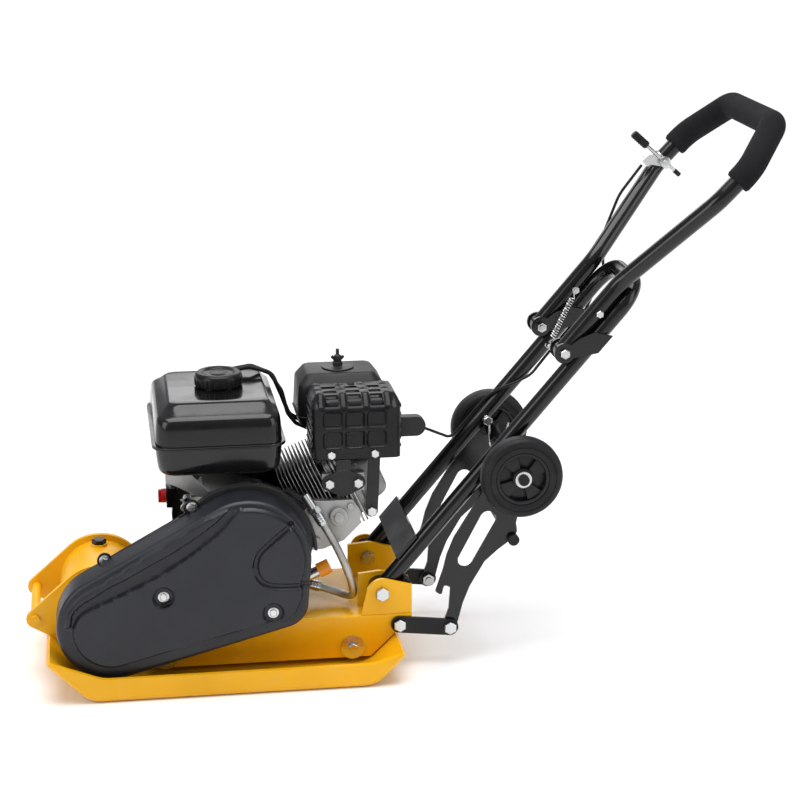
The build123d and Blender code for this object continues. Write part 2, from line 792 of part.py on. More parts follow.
def belt_cover():
    shell = side(cover_outline(), -163, -104)
    shell = fillet(shell.faces().sort_by(Axis.Y)[0].edges(), 9)
    shell -= side(cover_outline(-3), -160, -103)
    for x, z in COVER_BOLTS:
        shell -= rod_y(x, z, 12, -170, -157)
        shell += rod_y(x, z, 14.5, -160.5, -154) - rod_y(x, z, 12, -170, -157)
        shell += rod_y(x, z, 9, -154.5, -104)
        shell -= rod_y(x, z, 4.4, -170, -100)
    return shell


def belt_back_plate():
    front = disc(COVER_FRONT[0] - 3, COVER_FRONT[1] + 2, 75)
    rear = disc(COVER_REAR[0] + 6, COVER_REAR[1] + 6, 92)
    plate = hull(front, rear, disc(80, 130, 36))
    plate += disc(-169, 189, 11)
    plate += disc(-43, 262, 12)
    plate -= disc(EXCITER_X, EXCITER_Z, 62)
    plate -= disc(CRANK_X, CRANK_Z, 56)
    for x, z in COVER_BOLTS:
        plate -= disc(x, z, 4.2)
    return side(plate, -103.5, -101)


def clutch_shroud():
    """Bell between the engine and the belt guard."""
    bell = ring_y(CRANK_X, CRANK_Z, 104, 100, -100.7, -86)
    bell += ring_y(CRANK_X, CRANK_Z, 104, 60, -88, -86)
    keep = Pos(CRANK_X, 0, CRANK_Z + 90) * Box(240, 260, 180)
    return bell & keep


def cover_bolts():
    return [bolt((x, -157, z), (0, -1, 0), 10, 5, 4, 58) for x, z in COVER_BOLTS]


# ---- lower handle ----
def lower_handle():
    path = [
        on_handle(0, 0, -HANDLE_Y),
        on_handle(LOWER_TOP_ALONG, 0, -HANDLE_Y),
        on_handle(LOWER_TOP_ALONG, 0, HANDLE_Y),
        on_handle(0, 0, HANDLE_Y),
    ]
    frame = swept(path, [45, 45], TUBE_RADIUS, TUBE_RADIUS - TUBE_WALL)
    for boss in both(rod_y(PIVOT_X, PIVOT_Z, 17, -91.5, -65)):
        frame += boss
    frame -= rod_y(PIVOT_X, PIVOT_Z, 11, -120, 120)
    x, _, z = on_handle(280, -5)
    frame -= rod_y(x, z, 3.2, 50, 100)
    return frame


def pivot_bushes():
    return both(ring_y(PIVOT_X, PIVOT_Z, 10.9, 8 + FIT, -92, -64.6))


def handle_cross_plate():
    outline = polygon(handle_xz(54, 12.6), handle_xz(97, 12.6), handle_xz(97, 17.6), handle_xz(54, 17.6))
    return side(outline, -88, 88)


def hinge_plates():
    outline = polygon(
        handle_xz(HINGE_ALONG - 10, HINGE_OFFSET + 8),
        handle_xz(HINGE_ALONG + 30, HINGE_OFFSET - 3),
        handle_xz(HINGE_ALONG + 50, 12),
        handle_xz(HINGE_ALONG + 63, -13),
        handle_xz(HINGE_ALONG + 31, -13),
        handle_xz(HINGE_ALONG + 5, 9),
        handle_xz(HINGE_ALONG - 10, HINGE_OFFSET - 8),
    )
    plates = ()
    for y_low, y_high in ((-94.8, -90.8), (-65.2, -61.2)):
        plate = side(outline, y_low, y_high) + rod_y(HINGE_X, HINGE_Z, 15, y_low, y_high)
        plates += both(plate - rod_y(HINGE_X, HINGE_Z, 4 + FIT, -120, 120))
    return plates


def hinge_bolts():
    return both(bolt((HINGE_X, -94.8, HINGE_Z), (0, -1, 0), 13, 6, 4, 41, 7))


# ---- upper handle ----
def upper_path():
    hinge = (HINGE_X, -HANDLE_Y, HINGE_Z)
    return [
        hinge,
        (580.5, -HANDLE_Y, 566),
        (695, -156, 694),
        (738, -157, 739),
        (789, -98, 791),
        (789, 98, 791),
        (738, 157, 739),
        (695, 156, 694),
        (580.5, HANDLE_Y, 566),
        (HINGE_X, HANDLE_Y, HINGE_Z),
    ]


def upper_handle():
    frame = swept(upper_path(), [70, 70, 50, 28, 28, 50, 70, 70], TUBE_RADIUS, TUBE_RADIUS - TUBE_WALL)
    for boss in both(rod_y(HINGE_X, HINGE_Z, 12.5, -89.8, -66.2)):
        frame += boss
    frame -= rod_y(HINGE_X, HINGE_Z, 4 + FIT, -120, 120)
    frame -= rod_y(POST_X, POST_Z, 3.2, -120, 120)
    return frame


POST_X = HINGE_X + 50.6
POST_Z = HINGE_Z + 55.5


def spring_posts():
    return both(bolt((POST_X, -90.6, POST_Z), (0, -1, 0), 10, 4.5, 3, 36, 3))


HOOK_X, HOOK_Z = handle_xz(HINGE_ALONG - 14, 0)


def hook_pins():
    return both(rod_y(HOOK_X, HOOK_Z, 2.5, -65.3, -50))


def handle_springs():
    start = Vector(POST_X, -55, POST_Z)
    end = Vector(HOOK_X, -55, HOOK_Z)
    along = (end - start).normalized()
    coil = rod(tuple(start + along * 9), tuple(end - along * 9), 5)
    return both(coil)


FOAM_RADIUS = 19.0


def foam_grip():
    bends = upper_path()[3:7]
    start = Vector(*bends[0]) * 0.4 + Vector(*upper_path()[2]) * 0.6
    start = Vector(*bends[0]) + (start - Vector(*bends[0])).normalized() * 26
    first = (start.X, start.Y, start.Z)
    last = (start.X, -start.Y, start.Z)
    return swept([first, *bends, last], [50, 28, 28, 50], FOAM_RADIUS, TUBE_RADIUS + 0.2)


# ---- throttle ----
CLAMP_X, CLAMP_Y, CLAMP_Z = 700.3, 156.1, 699.6
LEVER_Y = 134.5


def throttle_clamp():
    """Band round the upper handle with the pivot pin and the cable block."""
    along = (43, 1, 45)
    plane = Plane(origin=(CLAMP_X, CLAMP_Y, CLAMP_Z), z_dir=along)
    band = extrude(plane * (Circle(17) - Circle(14)), amount=5, both=True)
    ear = hull(disc(CLAMP_X, CLAMP_Z, 8), disc(CLAMP_X - 28, CLAMP_Z + 4, 7))
    band += side(ear, 138.6, 141.6)
    band += Pos(CLAMP_X - 28, 133.6, CLAMP_Z + 4) * Rot(0, -42, 0) * Box(14, 16, 13)
    band += rod_y(CLAMP_X, CLAMP_Z, 4, 127, 139)
    return band


def throttle_lever():
    """Hand lever on the clamp's pin, with a plastic tip at each end."""
    hub = ring_y(CLAMP_X, CLAMP_Z, 8.5, 4 + FIT, LEVER_Y - 4, LEVER_Y + 3.5)
    away = Vector(-0.752, 0, 0.658)
    pivot = Vector(CLAMP_X, LEVER_Y, CLAMP_Z)
    arm = rod(tuple(pivot + away * 7), tuple(pivot + away * 46), 2.6)
    tail = rod(tuple(pivot - away * 7), tuple(pivot - away * 24), 2.6)
    grip = rod(tuple(pivot + away * 38), tuple(pivot + away * 68), 6)
    tip = rod(tuple(pivot - away * 20), tuple(pivot - away * 32), 3.6)
    return hub + arm + tail + grip + tip


def throttle_cable_engine():
    points = [(258, 46, 336), (300, 50, 326), on_handle(222, 17, 74), on_handle(235, 16, 75)]
    return swept(points, [60, 12], 2.2)


def throttle_cable_lower():
    """Outer cable that winds from the front of the tube, round its inner side, to the back."""
    points = [
        on_handle(235.2, 16, 75),
        on_handle(250, 15.2, 76),
        on_handle(300, 15.2, 76),
        on_handle(325, 13, 65),
        on_handle(350, 0, 61),
        on_handle(375, -13, 65),
        on_handle(410, -16, 77),
        on_handle(455, -18, 84),
        on_handle(505, -20, 88),
        on_handle(535, -14, 98),
    ]
    return swept(points, [60, 40, 40, 40, 40, 40, 60, 25], 2.2)


def throttle_cable_upper():
    points = [
        on_handle(535.3, -13.9, 98.1),
        on_handle(565, -8, 108.1),
        (604, 122, 592),
        (630, 132, 652),
        (664, 133.6, 696),
    ]
    return swept(points, [30, 60, 90], 2.2)


# ---- latch ----
def latch_clip():
    """Spring-wire hook on the handle that holds the wheel axle."""
    x, _, z = on_handle(280, -5)
    wire = swept(
        [
            (x + 3, 61, z - 4.5),
            (420, 60, 298),
            (420.5, 60, 279),
            (441.5, 60, 282),
            (444, 60, 300),
            (449, 60, 318),
        ],
        [10, 7, 7, 14],
        1.6,
    )
    ring = Pos(x, 61, z) * Rot(90, 0, 0) * Torus(5.3, 1.6)
    return ring + wire


def latch_bolt():
    x, _, z = on_handle(280, -5)
    return bolt((x, 58.5, z), (0, -1, 0), 13, 6, 3, 34)


# ---- transport wheels ----
def link_arms():
    arm = hull(disc(LINK_FRONT_X, LINK_FRONT_Z, 12.5), disc(LINK_REAR_X, LINK_REAR_Z, 12.5))
    arm -= disc(LINK_FRONT_X, LINK_FRONT_Z, 5 + FIT)
    arm -= disc(LINK_REAR_X, LINK_REAR_Z, 5.2)
    return both(side(arm, -103.4, -98.6))


def link_front_bolts():
    return both(bolt((LINK_FRONT_X, -103.8, LINK_FRONT_Z), (0, -1, 0), 17, 6, 5, 21, 7))


def link_rear_bolts():
    return both(bolt((LINK_REAR_X, -103.4, LINK_REAR_Z), (0, -1, 0), 17, 6, 5, 18, 7))


def wheel_carriage_plates():
    """Plates with a weight-saving slot and a down-facing hook."""
    outline = polygon(
        (334, 44), (343, 56), (352, 92), (362, 118), (384, 156), (404, 174), (418, 184), (432, 200),
        (430, 214), (446, 286), (440, 306), (414, 322), (396, 316), (378, 262), (338, 196), (327, 168),
        (322, 146), (311, 112), (320, 106), (324, 122), (333, 118), (331, 84), (320, 52),
    )
    outline = fillet(outline.vertices(), 3)
    slot = hull(disc(388, 222, 12), disc(355, 160, 11))
    plate = side(outline, -98.2, -94.2) + rod_y(LINK_REAR_X, LINK_REAR_Z, 13, -98.2, -94.2)
    plate -= side(slot, -120, 0)
    for x, z, radius in ((LINK_REAR_X, LINK_REAR_Z, 5), (WHEEL_X, WHEEL_Z, 8), (ROD_X, ROD_Z, 8.5)):
        plate -= rod_y(x, z, radius + FIT, -120, 0)
    return both(plate)


def carriage_rod():
    return rod_y(ROD_X, ROD_Z, 8.5, -106, 106)


def wheel_axle():
    return rod_y(WHEEL_X, WHEEL_Z, 8, -142, 142)


def tyre(y_centre):
    half = WHEEL_WIDTH / 2
    band = ring_y(WHEEL_X, WHEEL_Z, WHEEL_RADIUS, 39.2, y_centre - half, y_centre + half)
    shoulders = band.edges().filter_by(GeomType.CIRCLE).filter_by(lambda e: e.radius > 50)
    return fillet(shoulders, 7)


def rim(y_centre):
    half = WHEEL_WIDTH / 2 - 2
    body = ring_y(WHEEL_X, WHEEL_Z, 39, 34, y_centre - half, y_centre + half)
    body += ring_y(WHEEL_X, WHEEL_Z, 36, 12, y_centre - 2.5, y_centre + 2.5)
    body += ring_y(WHEEL_X, WHEEL_Z, 15, 8 + FIT, y_centre - half, y_centre + half)
    for angle in range(0, 360, 45):
        spoke = Pos(24.5, 0, 0) * Box(22, 2 * half - 4, 3)
        spoke = Pos(WHEEL_X, y_centre, WHEEL_Z) * Rot(0, angle, 0) * spoke
        body += spoke
    return body - rod_y(WHEEL_X, WHEEL_Z, 8 + FIT, y_centre - 30, y_centre + 30)


def push_nut(outward):
    start = outward * (WHEEL_Y + WHEEL_WIDTH / 2 - 1.5)
    return ring_y(WHEEL_X, WHEEL_Z, 12, 8.05, start, start + outward * 3)


save("base_plate", base_plate(), *isolator_brackets())
save("exciter_brackets", *both(exciter_bracket()), rod_y(TIE_ROD_X, TIE_ROD_Z, 7, -74, 74))
save("exciter_housing", exciter_housing())
save("exciter_caps", exciter_cap(-1), exciter_cap(1))
save("exciter_bearings", exciter_bearing(-1), exciter_bearing(1))
save("exciter_shaft", exciter_shaft())
save("exciter_pulley", grooved_pulley(EXCITER_X, EXCITER_Z, PULLEY_RADIUS, 12.55))
save("filler_plugs", bolt((EXCITER_X, 40, EXCITER_Z + 63), (0, 0, 1), 19, 7, 6, 14), dipstick())
save("v_belt", v_belt())
save("rubber_mounts", *isolators(), *handle_stop_pads())
save(
    "frame_fixings",
    *isolator_washers(),
    *isolator_bolts(),
    *pivot_bolts(),
    *link_front_bolts(),
    *exciter_cap_bolts(),
    *cover_bolts(),
)
save("deck_frame", deck_frame())
save("crankcase", crankcase() + cylinder())
save("crankcase_cover", crankcase_cover())
save(
    "engine_fixings",
    *engine_bolts(),
    *exhaust_nuts(),
    muffler_stay_bolt(),
    *guard_bolts(),
    *drain_fittings(),
    drain_pipe(),
)
save("cylinder_head", cylinder_head())
save("valve_cover", valve_cover())
save("spark_plug", spark_plug(), spark_plug_boot())
save("crankshaft", crankshaft())
save("clutch_drum", clutch_drum())
save("flywheel", flywheel())
save("recoil_housing", recoil_housing())
save("recoil_grip", recoil_grip())
save("tank_lower", tank_lower())
save("tank_upper", tank_upper())
save("fuel_cap", fuel_cap())
save("carburettor", carburettor())
save("air_cleaner_base", air_cleaner_base())
save("air_cleaner_cover", air_cleaner_cover())
save("air_filter", air_filter())
save("wing_nut", wing_nut())
save("muffler", muffler() + exhaust_flange(), exhaust_deflector(), muffler_stay())
save("muffler_guard", muffler_guard())
save("engine_switch", engine_switch())
save("fuel_hose", fuel_hose())
save("drain_hose", drain_hose())
save("drain_cap", drain_cap())
save("belt_cover", belt_cover())
save("belt_guard_back", belt_back_plate(), clutch_shroud())
save("lower_handle", lower_handle())
save("handle_plates", *hinge_plates(), handle_cross_plate())
save("handle_fixings", *hinge_bolts(), *hook_pins(), *pivot_bushes(), latch_bolt())
save("upper_handle", upper_handle())
save("foam_grip", foam_grip())
save("handle_springs", *handle_springs())
save("spring_posts", *spring_posts())
save("throttle_clamp", throttle_clamp())
save("throttle_lever", throttle_lever())
save("throttle_cable_engine", throttle_cable_engine())
save("throttle_cable_lower", throttle_cable_lower())
save("throttle_cable_upper", throttle_cable_upper())
save("latch_clip", latch_clip())
save("link_arms", *link_arms())
save("carriage_plates", *wheel_carriage_plates())
save("carriage_rods", carriage_rod(), wheel_axle())
save("carriage_fixings", *link_rear_bolts(), push_nut(-1), push_nut(1))
for end, centre in (("left", -WHEEL_Y), ("right", WHEEL_Y)):
    save(f"tyre_{end}", tyre(centre))
    save(f"rim_{end}", rim(centre))
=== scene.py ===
import json
from math import cos, hypot, pi, radians, sin, tan

import bmesh
import bpy
import numpy as np
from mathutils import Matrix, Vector


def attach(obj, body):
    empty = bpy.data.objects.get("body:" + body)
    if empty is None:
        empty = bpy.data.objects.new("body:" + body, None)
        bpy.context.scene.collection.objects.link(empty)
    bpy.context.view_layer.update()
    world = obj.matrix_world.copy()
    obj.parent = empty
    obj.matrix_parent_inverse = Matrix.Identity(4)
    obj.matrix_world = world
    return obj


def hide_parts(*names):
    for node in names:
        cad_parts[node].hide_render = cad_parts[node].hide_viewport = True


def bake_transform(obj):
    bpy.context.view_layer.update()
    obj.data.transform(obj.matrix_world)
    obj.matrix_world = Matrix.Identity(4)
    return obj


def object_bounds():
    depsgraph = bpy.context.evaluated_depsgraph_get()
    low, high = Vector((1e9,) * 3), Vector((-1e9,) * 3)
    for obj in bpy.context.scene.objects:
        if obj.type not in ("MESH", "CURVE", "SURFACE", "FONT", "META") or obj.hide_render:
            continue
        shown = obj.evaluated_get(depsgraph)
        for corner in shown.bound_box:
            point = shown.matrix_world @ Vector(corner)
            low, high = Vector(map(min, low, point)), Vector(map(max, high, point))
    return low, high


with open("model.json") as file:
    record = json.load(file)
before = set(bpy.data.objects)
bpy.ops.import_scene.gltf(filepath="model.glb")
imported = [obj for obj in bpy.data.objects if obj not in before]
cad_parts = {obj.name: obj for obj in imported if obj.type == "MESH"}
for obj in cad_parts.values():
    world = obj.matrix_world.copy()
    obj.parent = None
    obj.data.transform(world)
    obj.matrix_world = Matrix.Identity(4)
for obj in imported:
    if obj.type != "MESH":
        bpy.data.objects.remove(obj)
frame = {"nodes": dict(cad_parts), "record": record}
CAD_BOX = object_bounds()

# Shapes are given in millimetres, and MM turns them into metres. Camera, floor and lights are in metres.
MM = 0.001

# ---- camera ----
LENS = 92.3
SENSOR_WIDTH = 36.0
VIEW_SHIFT = (0.0278, 0.0036)
CAMERA_AT = (-0.1733, -2.8685, 1.2456)
CAMERA_AIM = (0.1364, 0.9481, -0.2874)
camera_data = bpy.data.cameras.new("camera")
camera_data.lens = LENS
camera_data.sensor_width = SENSOR_WIDTH
camera_data.shift_x, camera_data.shift_y = VIEW_SHIFT
camera = bpy.data.objects.new("camera", camera_data)
bpy.context.collection.objects.link(camera)
camera.location = CAMERA_AT
camera.rotation_mode = "QUATERNION"
camera.rotation_quaternion = Vector(CAMERA_AIM).to_track_quat("-Z", "Y")
bpy.context.scene.camera = camera
bpy.context.scene.view_settings.view_transform = "Standard"

# ---- drain hose ----
HOSE_RADIUS = 5.8
HOSE_ROUTE = [
    (139, -85, 236), (157, -89, 206), (173, -90, 172), (186, -87, 138),
    (194, -76, 107), (188, -50, 93), (164, -33, 98), (134, -26, 106),
]


def drain_hose():
    """Braided hose hanging between its two fittings."""
    curve = bpy.data.curves.new("braided_hose", "CURVE")
    curve.dimensions = "3D"
    curve.bevel_depth = 1.0
    curve.bevel_resolution = 6
    curve.resolution_u = 12
    line = curve.splines.new("NURBS")
    line.points.add(len(HOSE_ROUTE) - 1)
    for point, (x, y, z) in zip(line.points, HOSE_ROUTE):
        point.co = (x * MM, y * MM, z * MM, 1)
        point.radius = HOSE_RADIUS * MM
    line.order_u = 3
    line.use_endpoint_u = True
    hose = bpy.data.objects.new("braided_hose", curve)
    bpy.context.collection.objects.link(hose)
    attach(hose, "chassis")
    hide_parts("drain_hose")
    return hose


drain_cord = drain_hose()


# ---- materials ----
PATCH_SCALE = 7.0
COAT_ROUGHNESS = 0.08
DUST_COLOUR = (0.42, 0.36, 0.28, 1)


def finish_of(
    name, colour, rough, metal=0.0, coat=0.0, spread=0.10, grain=260.0, bump=0.04, dust=0.0, shine=0.5
):
    """Painted, moulded or plated surface: colour patches, uneven gloss, fine grain, and patches of dust."""
    mat = bpy.data.materials.new(name)
    mat.use_nodes = True
    nodes = mat.node_tree.nodes
    links = mat.node_tree.links
    shader = nodes["Principled BSDF"]
    shader.inputs["Metallic"].default_value = metal
    shader.inputs["Coat Weight"].default_value = coat
    shader.inputs["Coat Roughness"].default_value = COAT_ROUGHNESS
    shader.inputs["Specular IOR Level"].default_value = shine
    place = nodes.new("ShaderNodeTexCoord")

    def noise(scale, detail):
        node = nodes.new("ShaderNodeTexNoise")
        node.inputs["Scale"].default_value = scale
        node.inputs["Detail"].default_value = detail
        links.new(place.outputs["Object"], node.inputs["Vector"])
        return node.outputs["Fac"]

    def ramp(factor, low, high, low_colour, high_colour):
        node = nodes.new("ShaderNodeValToRGB")
        node.color_ramp.elements[0].position = low
        node.color_ramp.elements[1].position = high
        node.color_ramp.elements[0].color = (*low_colour, 1)
        node.color_ramp.elements[1].color = (*high_colour, 1)
        links.new(factor, node.inputs["Fac"])
        return node.outputs["Color"]

    dark = [c * (1 - spread) for c in colour]
    light = [min(1.0, c * (1 + spread) + 0.004 * spread) for c in colour]
    tint = ramp(noise(PATCH_SCALE, 4), 0.3, 0.7, dark, light)
    if dust:
        mask = ramp(noise(PATCH_SCALE * 4, 6), 0.52, 0.75, (0, 0, 0), (dust, dust, dust))
        mix = nodes.new("ShaderNodeMix")
        mix.data_type = "RGBA"
        mix.inputs["B"].default_value = DUST_COLOUR
        links.new(mask, mix.inputs["Factor"])
        links.new(tint, mix.inputs["A"])
        tint = mix.outputs["Result"]
    links.new(tint, shader.inputs["Base Color"])
    low, high = max(0.03, rough - 0.06), min(1.0, rough + 0.07)
    gloss = ramp(noise(PATCH_SCALE * 3, 5), 0.35, 0.65, (low, low, low), (high, high, high))
    links.new(gloss, shader.inputs["Roughness"])
    relief = nodes.new("ShaderNodeBump")
    relief.inputs["Strength"].default_value = bump
    relief.inputs["Distance"].default_value = 0.001
    links.new(noise(grain, 3), relief.inputs["Height"])
    links.new(relief.outputs["Normal"], shader.inputs["Normal"])
    return mat


FINISHES = {
    "yellow_plate": dict(
        colour=(0.80, 0.40, 0.004), rough=0.36, spread=0.09, bump=0.10, grain=140, dust=0.10, shine=0.3),
    "yellow_deck": dict(
        colour=(0.84, 0.43, 0.004), rough=0.24, spread=0.06, bump=0.07, grain=120, dust=0.04, shine=0.3),
    "black_gloss": dict(colour=(0.004, 0.004, 0.0045), rough=0.15, bump=0.03, grain=160, shine=0.42),
    "black_satin": dict(colour=(0.005, 0.005, 0.006), rough=0.30, bump=0.08, dust=0.01, shine=0.26),
    "cover_plastic": dict(colour=(0.010, 0.0112, 0.0155), rough=0.37, bump=0.22, grain=900, shine=0.4),
    "grey_plastic": dict(colour=(0.010, 0.010, 0.011), rough=0.40, bump=0.18, grain=700, shine=0.28),
    "dark_metal": dict(colour=(0.016, 0.016, 0.017), rough=0.40, bump=0.10, shine=0.3),
    "zinc": dict(colour=(0.56, 0.57, 0.57), rough=0.26, metal=1.0, spread=0.14, bump=0.08, grain=420),
    "steel": dict(colour=(0.50, 0.50, 0.49), rough=0.32, metal=1.0, bump=0.06, grain=500),
    "casting": dict(
        colour=(0.40, 0.40, 0.39), rough=0.45, metal=0.75, spread=0.14, bump=0.34, grain=380, dust=0.04),
    "black_cast": dict(colour=(0.010, 0.010, 0.011), rough=0.42, bump=0.25, grain=380, shine=0.25),
    "iron": dict(colour=(0.20, 0.19, 0.18), rough=0.5, metal=0.9, bump=0.2, grain=300),
    "rubber": dict(colour=(0.008, 0.008, 0.008), rough=0.55, bump=0.10, grain=500, shine=0.2),
    "foam": dict(colour=(0.011, 0.011, 0.013), rough=0.88, bump=0.55, grain=1500, shine=0.12),
    "tyre": dict(colour=(0.011, 0.011, 0.012), rough=0.52, bump=0.10, grain=500, dust=0.03, shine=0.22),
    "rim": dict(colour=(0.008, 0.008, 0.009), rough=0.34, bump=0.06, grain=300, shine=0.3),
    "chrome": dict(colour=(0.70, 0.70, 0.70), rough=0.14, metal=1.0, bump=0.02),
    "orange": dict(colour=(0.80, 0.27, 0.006), rough=0.34, coat=0.2, bump=0.05),
    "red": dict(colour=(0.50, 0.008, 0.010), rough=0.26, coat=0.3, bump=0.03),
    "cable_black": dict(colour=(0.008, 0.008, 0.008), rough=0.36, bump=0.05, shine=0.25),
    "ceramic": dict(colour=(0.02, 0.02, 0.02), rough=0.4, bump=0.08, shine=0.3),
    "braid": dict(colour=(0.52, 0.52, 0.50), rough=0.34, metal=1.0, spread=0.35, bump=0.9, grain=620),
    "filter": dict(colour=(0.42, 0.30, 0.12), rough=0.9, bump=0.6, grain=900),
}
MATERIALS = {name: finish_of(name, **look) for name, look in FINISHES.items()}
drain_cord.data.materials.append(MATERIALS["braid"])
slots = {row["node"]: row["material_slot"] for row in frame["record"]["subparts"]}
for node, piece in frame["nodes"].items():
    piece.data.materials.clear()
    piece.data.materials.append(MATERIALS[slots[node]])

# ---- floor and light ----
FLOOR_SIZE = 3.4
FLOOR_GAP = 0.0005
FLOOR_COLOUR = (0.96, 0.96, 0.96)
bpy.ops.mesh.primitive_plane_add(size=FLOOR_SIZE, location=(0, 0, CAD_BOX[0].z - FLOOR_GAP))
floor = bpy.context.object
floor.name = "floor"
floor.data.materials.append(finish_of("floor_paint", FLOOR_COLOUR, 0.8, spread=0.01, bump=0.02, shine=0.1))


def soft_light(name, at, aim, size, power):
    """Rectangular lamp that faces `aim`."""
    lamp = bpy.data.lights.new(name, "AREA")
    lamp.shape = "RECTANGLE"
    lamp.size, lamp.size_y = size
    lamp.energy = power
    holder = bpy.data.objects.new(name, lamp)
    holder.location = at
    holder.rotation_mode = "QUATERNION"
    holder.rotation_quaternion = (Vector(aim) - Vector(at)).to_track_quat("-Z", "Y")
    bpy.context.collection.objects.link(holder)


soft_light("overhead", (0.1, -0.2, 3.1), (0.1, 0, 0.3), (3.0, 2.2), 98)
soft_light("left", (-2.8, -1.4, 1.7), (0.1, 0, 0.3), (1.6, 2.2), 34)
soft_light("right", (2.9, -1.6, 1.5), (0.2, 0, 0.4), (1.4, 2.2), 20)
soft_light("behind", (0.4, 3.2, 2.0), (0.1, 0, 0.4), (3.0, 1.6), 28)


def sky_and_ground():
    """World light: white below the horizon, and grey above it that grows paler upwards."""
    world = bpy.data.worlds.new("world")
    world.use_nodes = True
    nodes = world.node_tree.nodes
    links = world.node_tree.links
    place = nodes.new("ShaderNodeTexCoord")
    height = nodes.new("ShaderNodeSeparateXYZ")
    shade = nodes.new("ShaderNodeValToRGB")
    shade.color_ramp.elements[0].position = 0.0
    shade.color_ramp.elements[0].color = (1, 1, 1, 1)
    shade.color_ramp.elements[1].position = 0.05
    shade.color_ramp.elements[1].color = (0.22, 0.22, 0.23, 1)
    shade.color_ramp.elements.new(0.7).color = (0.42, 0.42, 0.43, 1)
    links.new(place.outputs["Generated"], height.inputs["Vector"])
    links.new(height.outputs["Z"], shade.inputs["Fac"])
    links.new(shade.outputs["Color"], nodes["Background"].inputs["Color"])
    nodes["Background"].inputs["Strength"].default_value = 1.05
    bpy.context.scene.world = world


sky_and_ground()

# ---- mesh tools ----
AUTO_SMOOTH = radians(32)
BEVEL_ABOVE = radians(35)
MERGE_WITHIN = 1e-6


def new_piece(name, slot, body, verts, faces, replaces=(), bevel=0.0):
    """One shown piece: its mesh, its finish, and the CAD body it moves with."""
    mesh = bpy.data.meshes.new(name)
    mesh.from_pydata([(x * MM, y * MM, z * MM) for x, y, z in verts], [], faces)
    work = bmesh.new()
    work.from_mesh(mesh)
    bmesh.ops.remove_doubles(work, verts=work.verts, dist=MERGE_WITHIN)
    bmesh.ops.recalc_face_normals(work, faces=work.faces)
    if bevel:
        sharp = [e for e in work.edges if len(e.link_faces) == 2 and e.calc_face_angle() > BEVEL_ABOVE]
        bmesh.ops.bevel(
            work, geom=sharp, offset=bevel * MM, segments=3, profile=0.6, affect="EDGES", clamp_overlap=True)
    work.to_mesh(mesh)
    work.free()
    mesh.shade_smooth()
    mesh.set_sharp_from_angle(angle=AUTO_SMOOTH)
    mesh.materials.append(MATERIALS[slot])
    piece = bpy.data.objects.new(name, mesh)
    bpy.context.collection.objects.link(piece)
    if body:
        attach(piece, body)
    if replaces:
        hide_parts(*replaces)
    return piece


def frame_round(axis):
    """Unit vector along an axis, and two square to it."""
    along = Vector(axis).normalized()
    u = along.orthogonal().normalized()
    return along, u, along.cross(u)


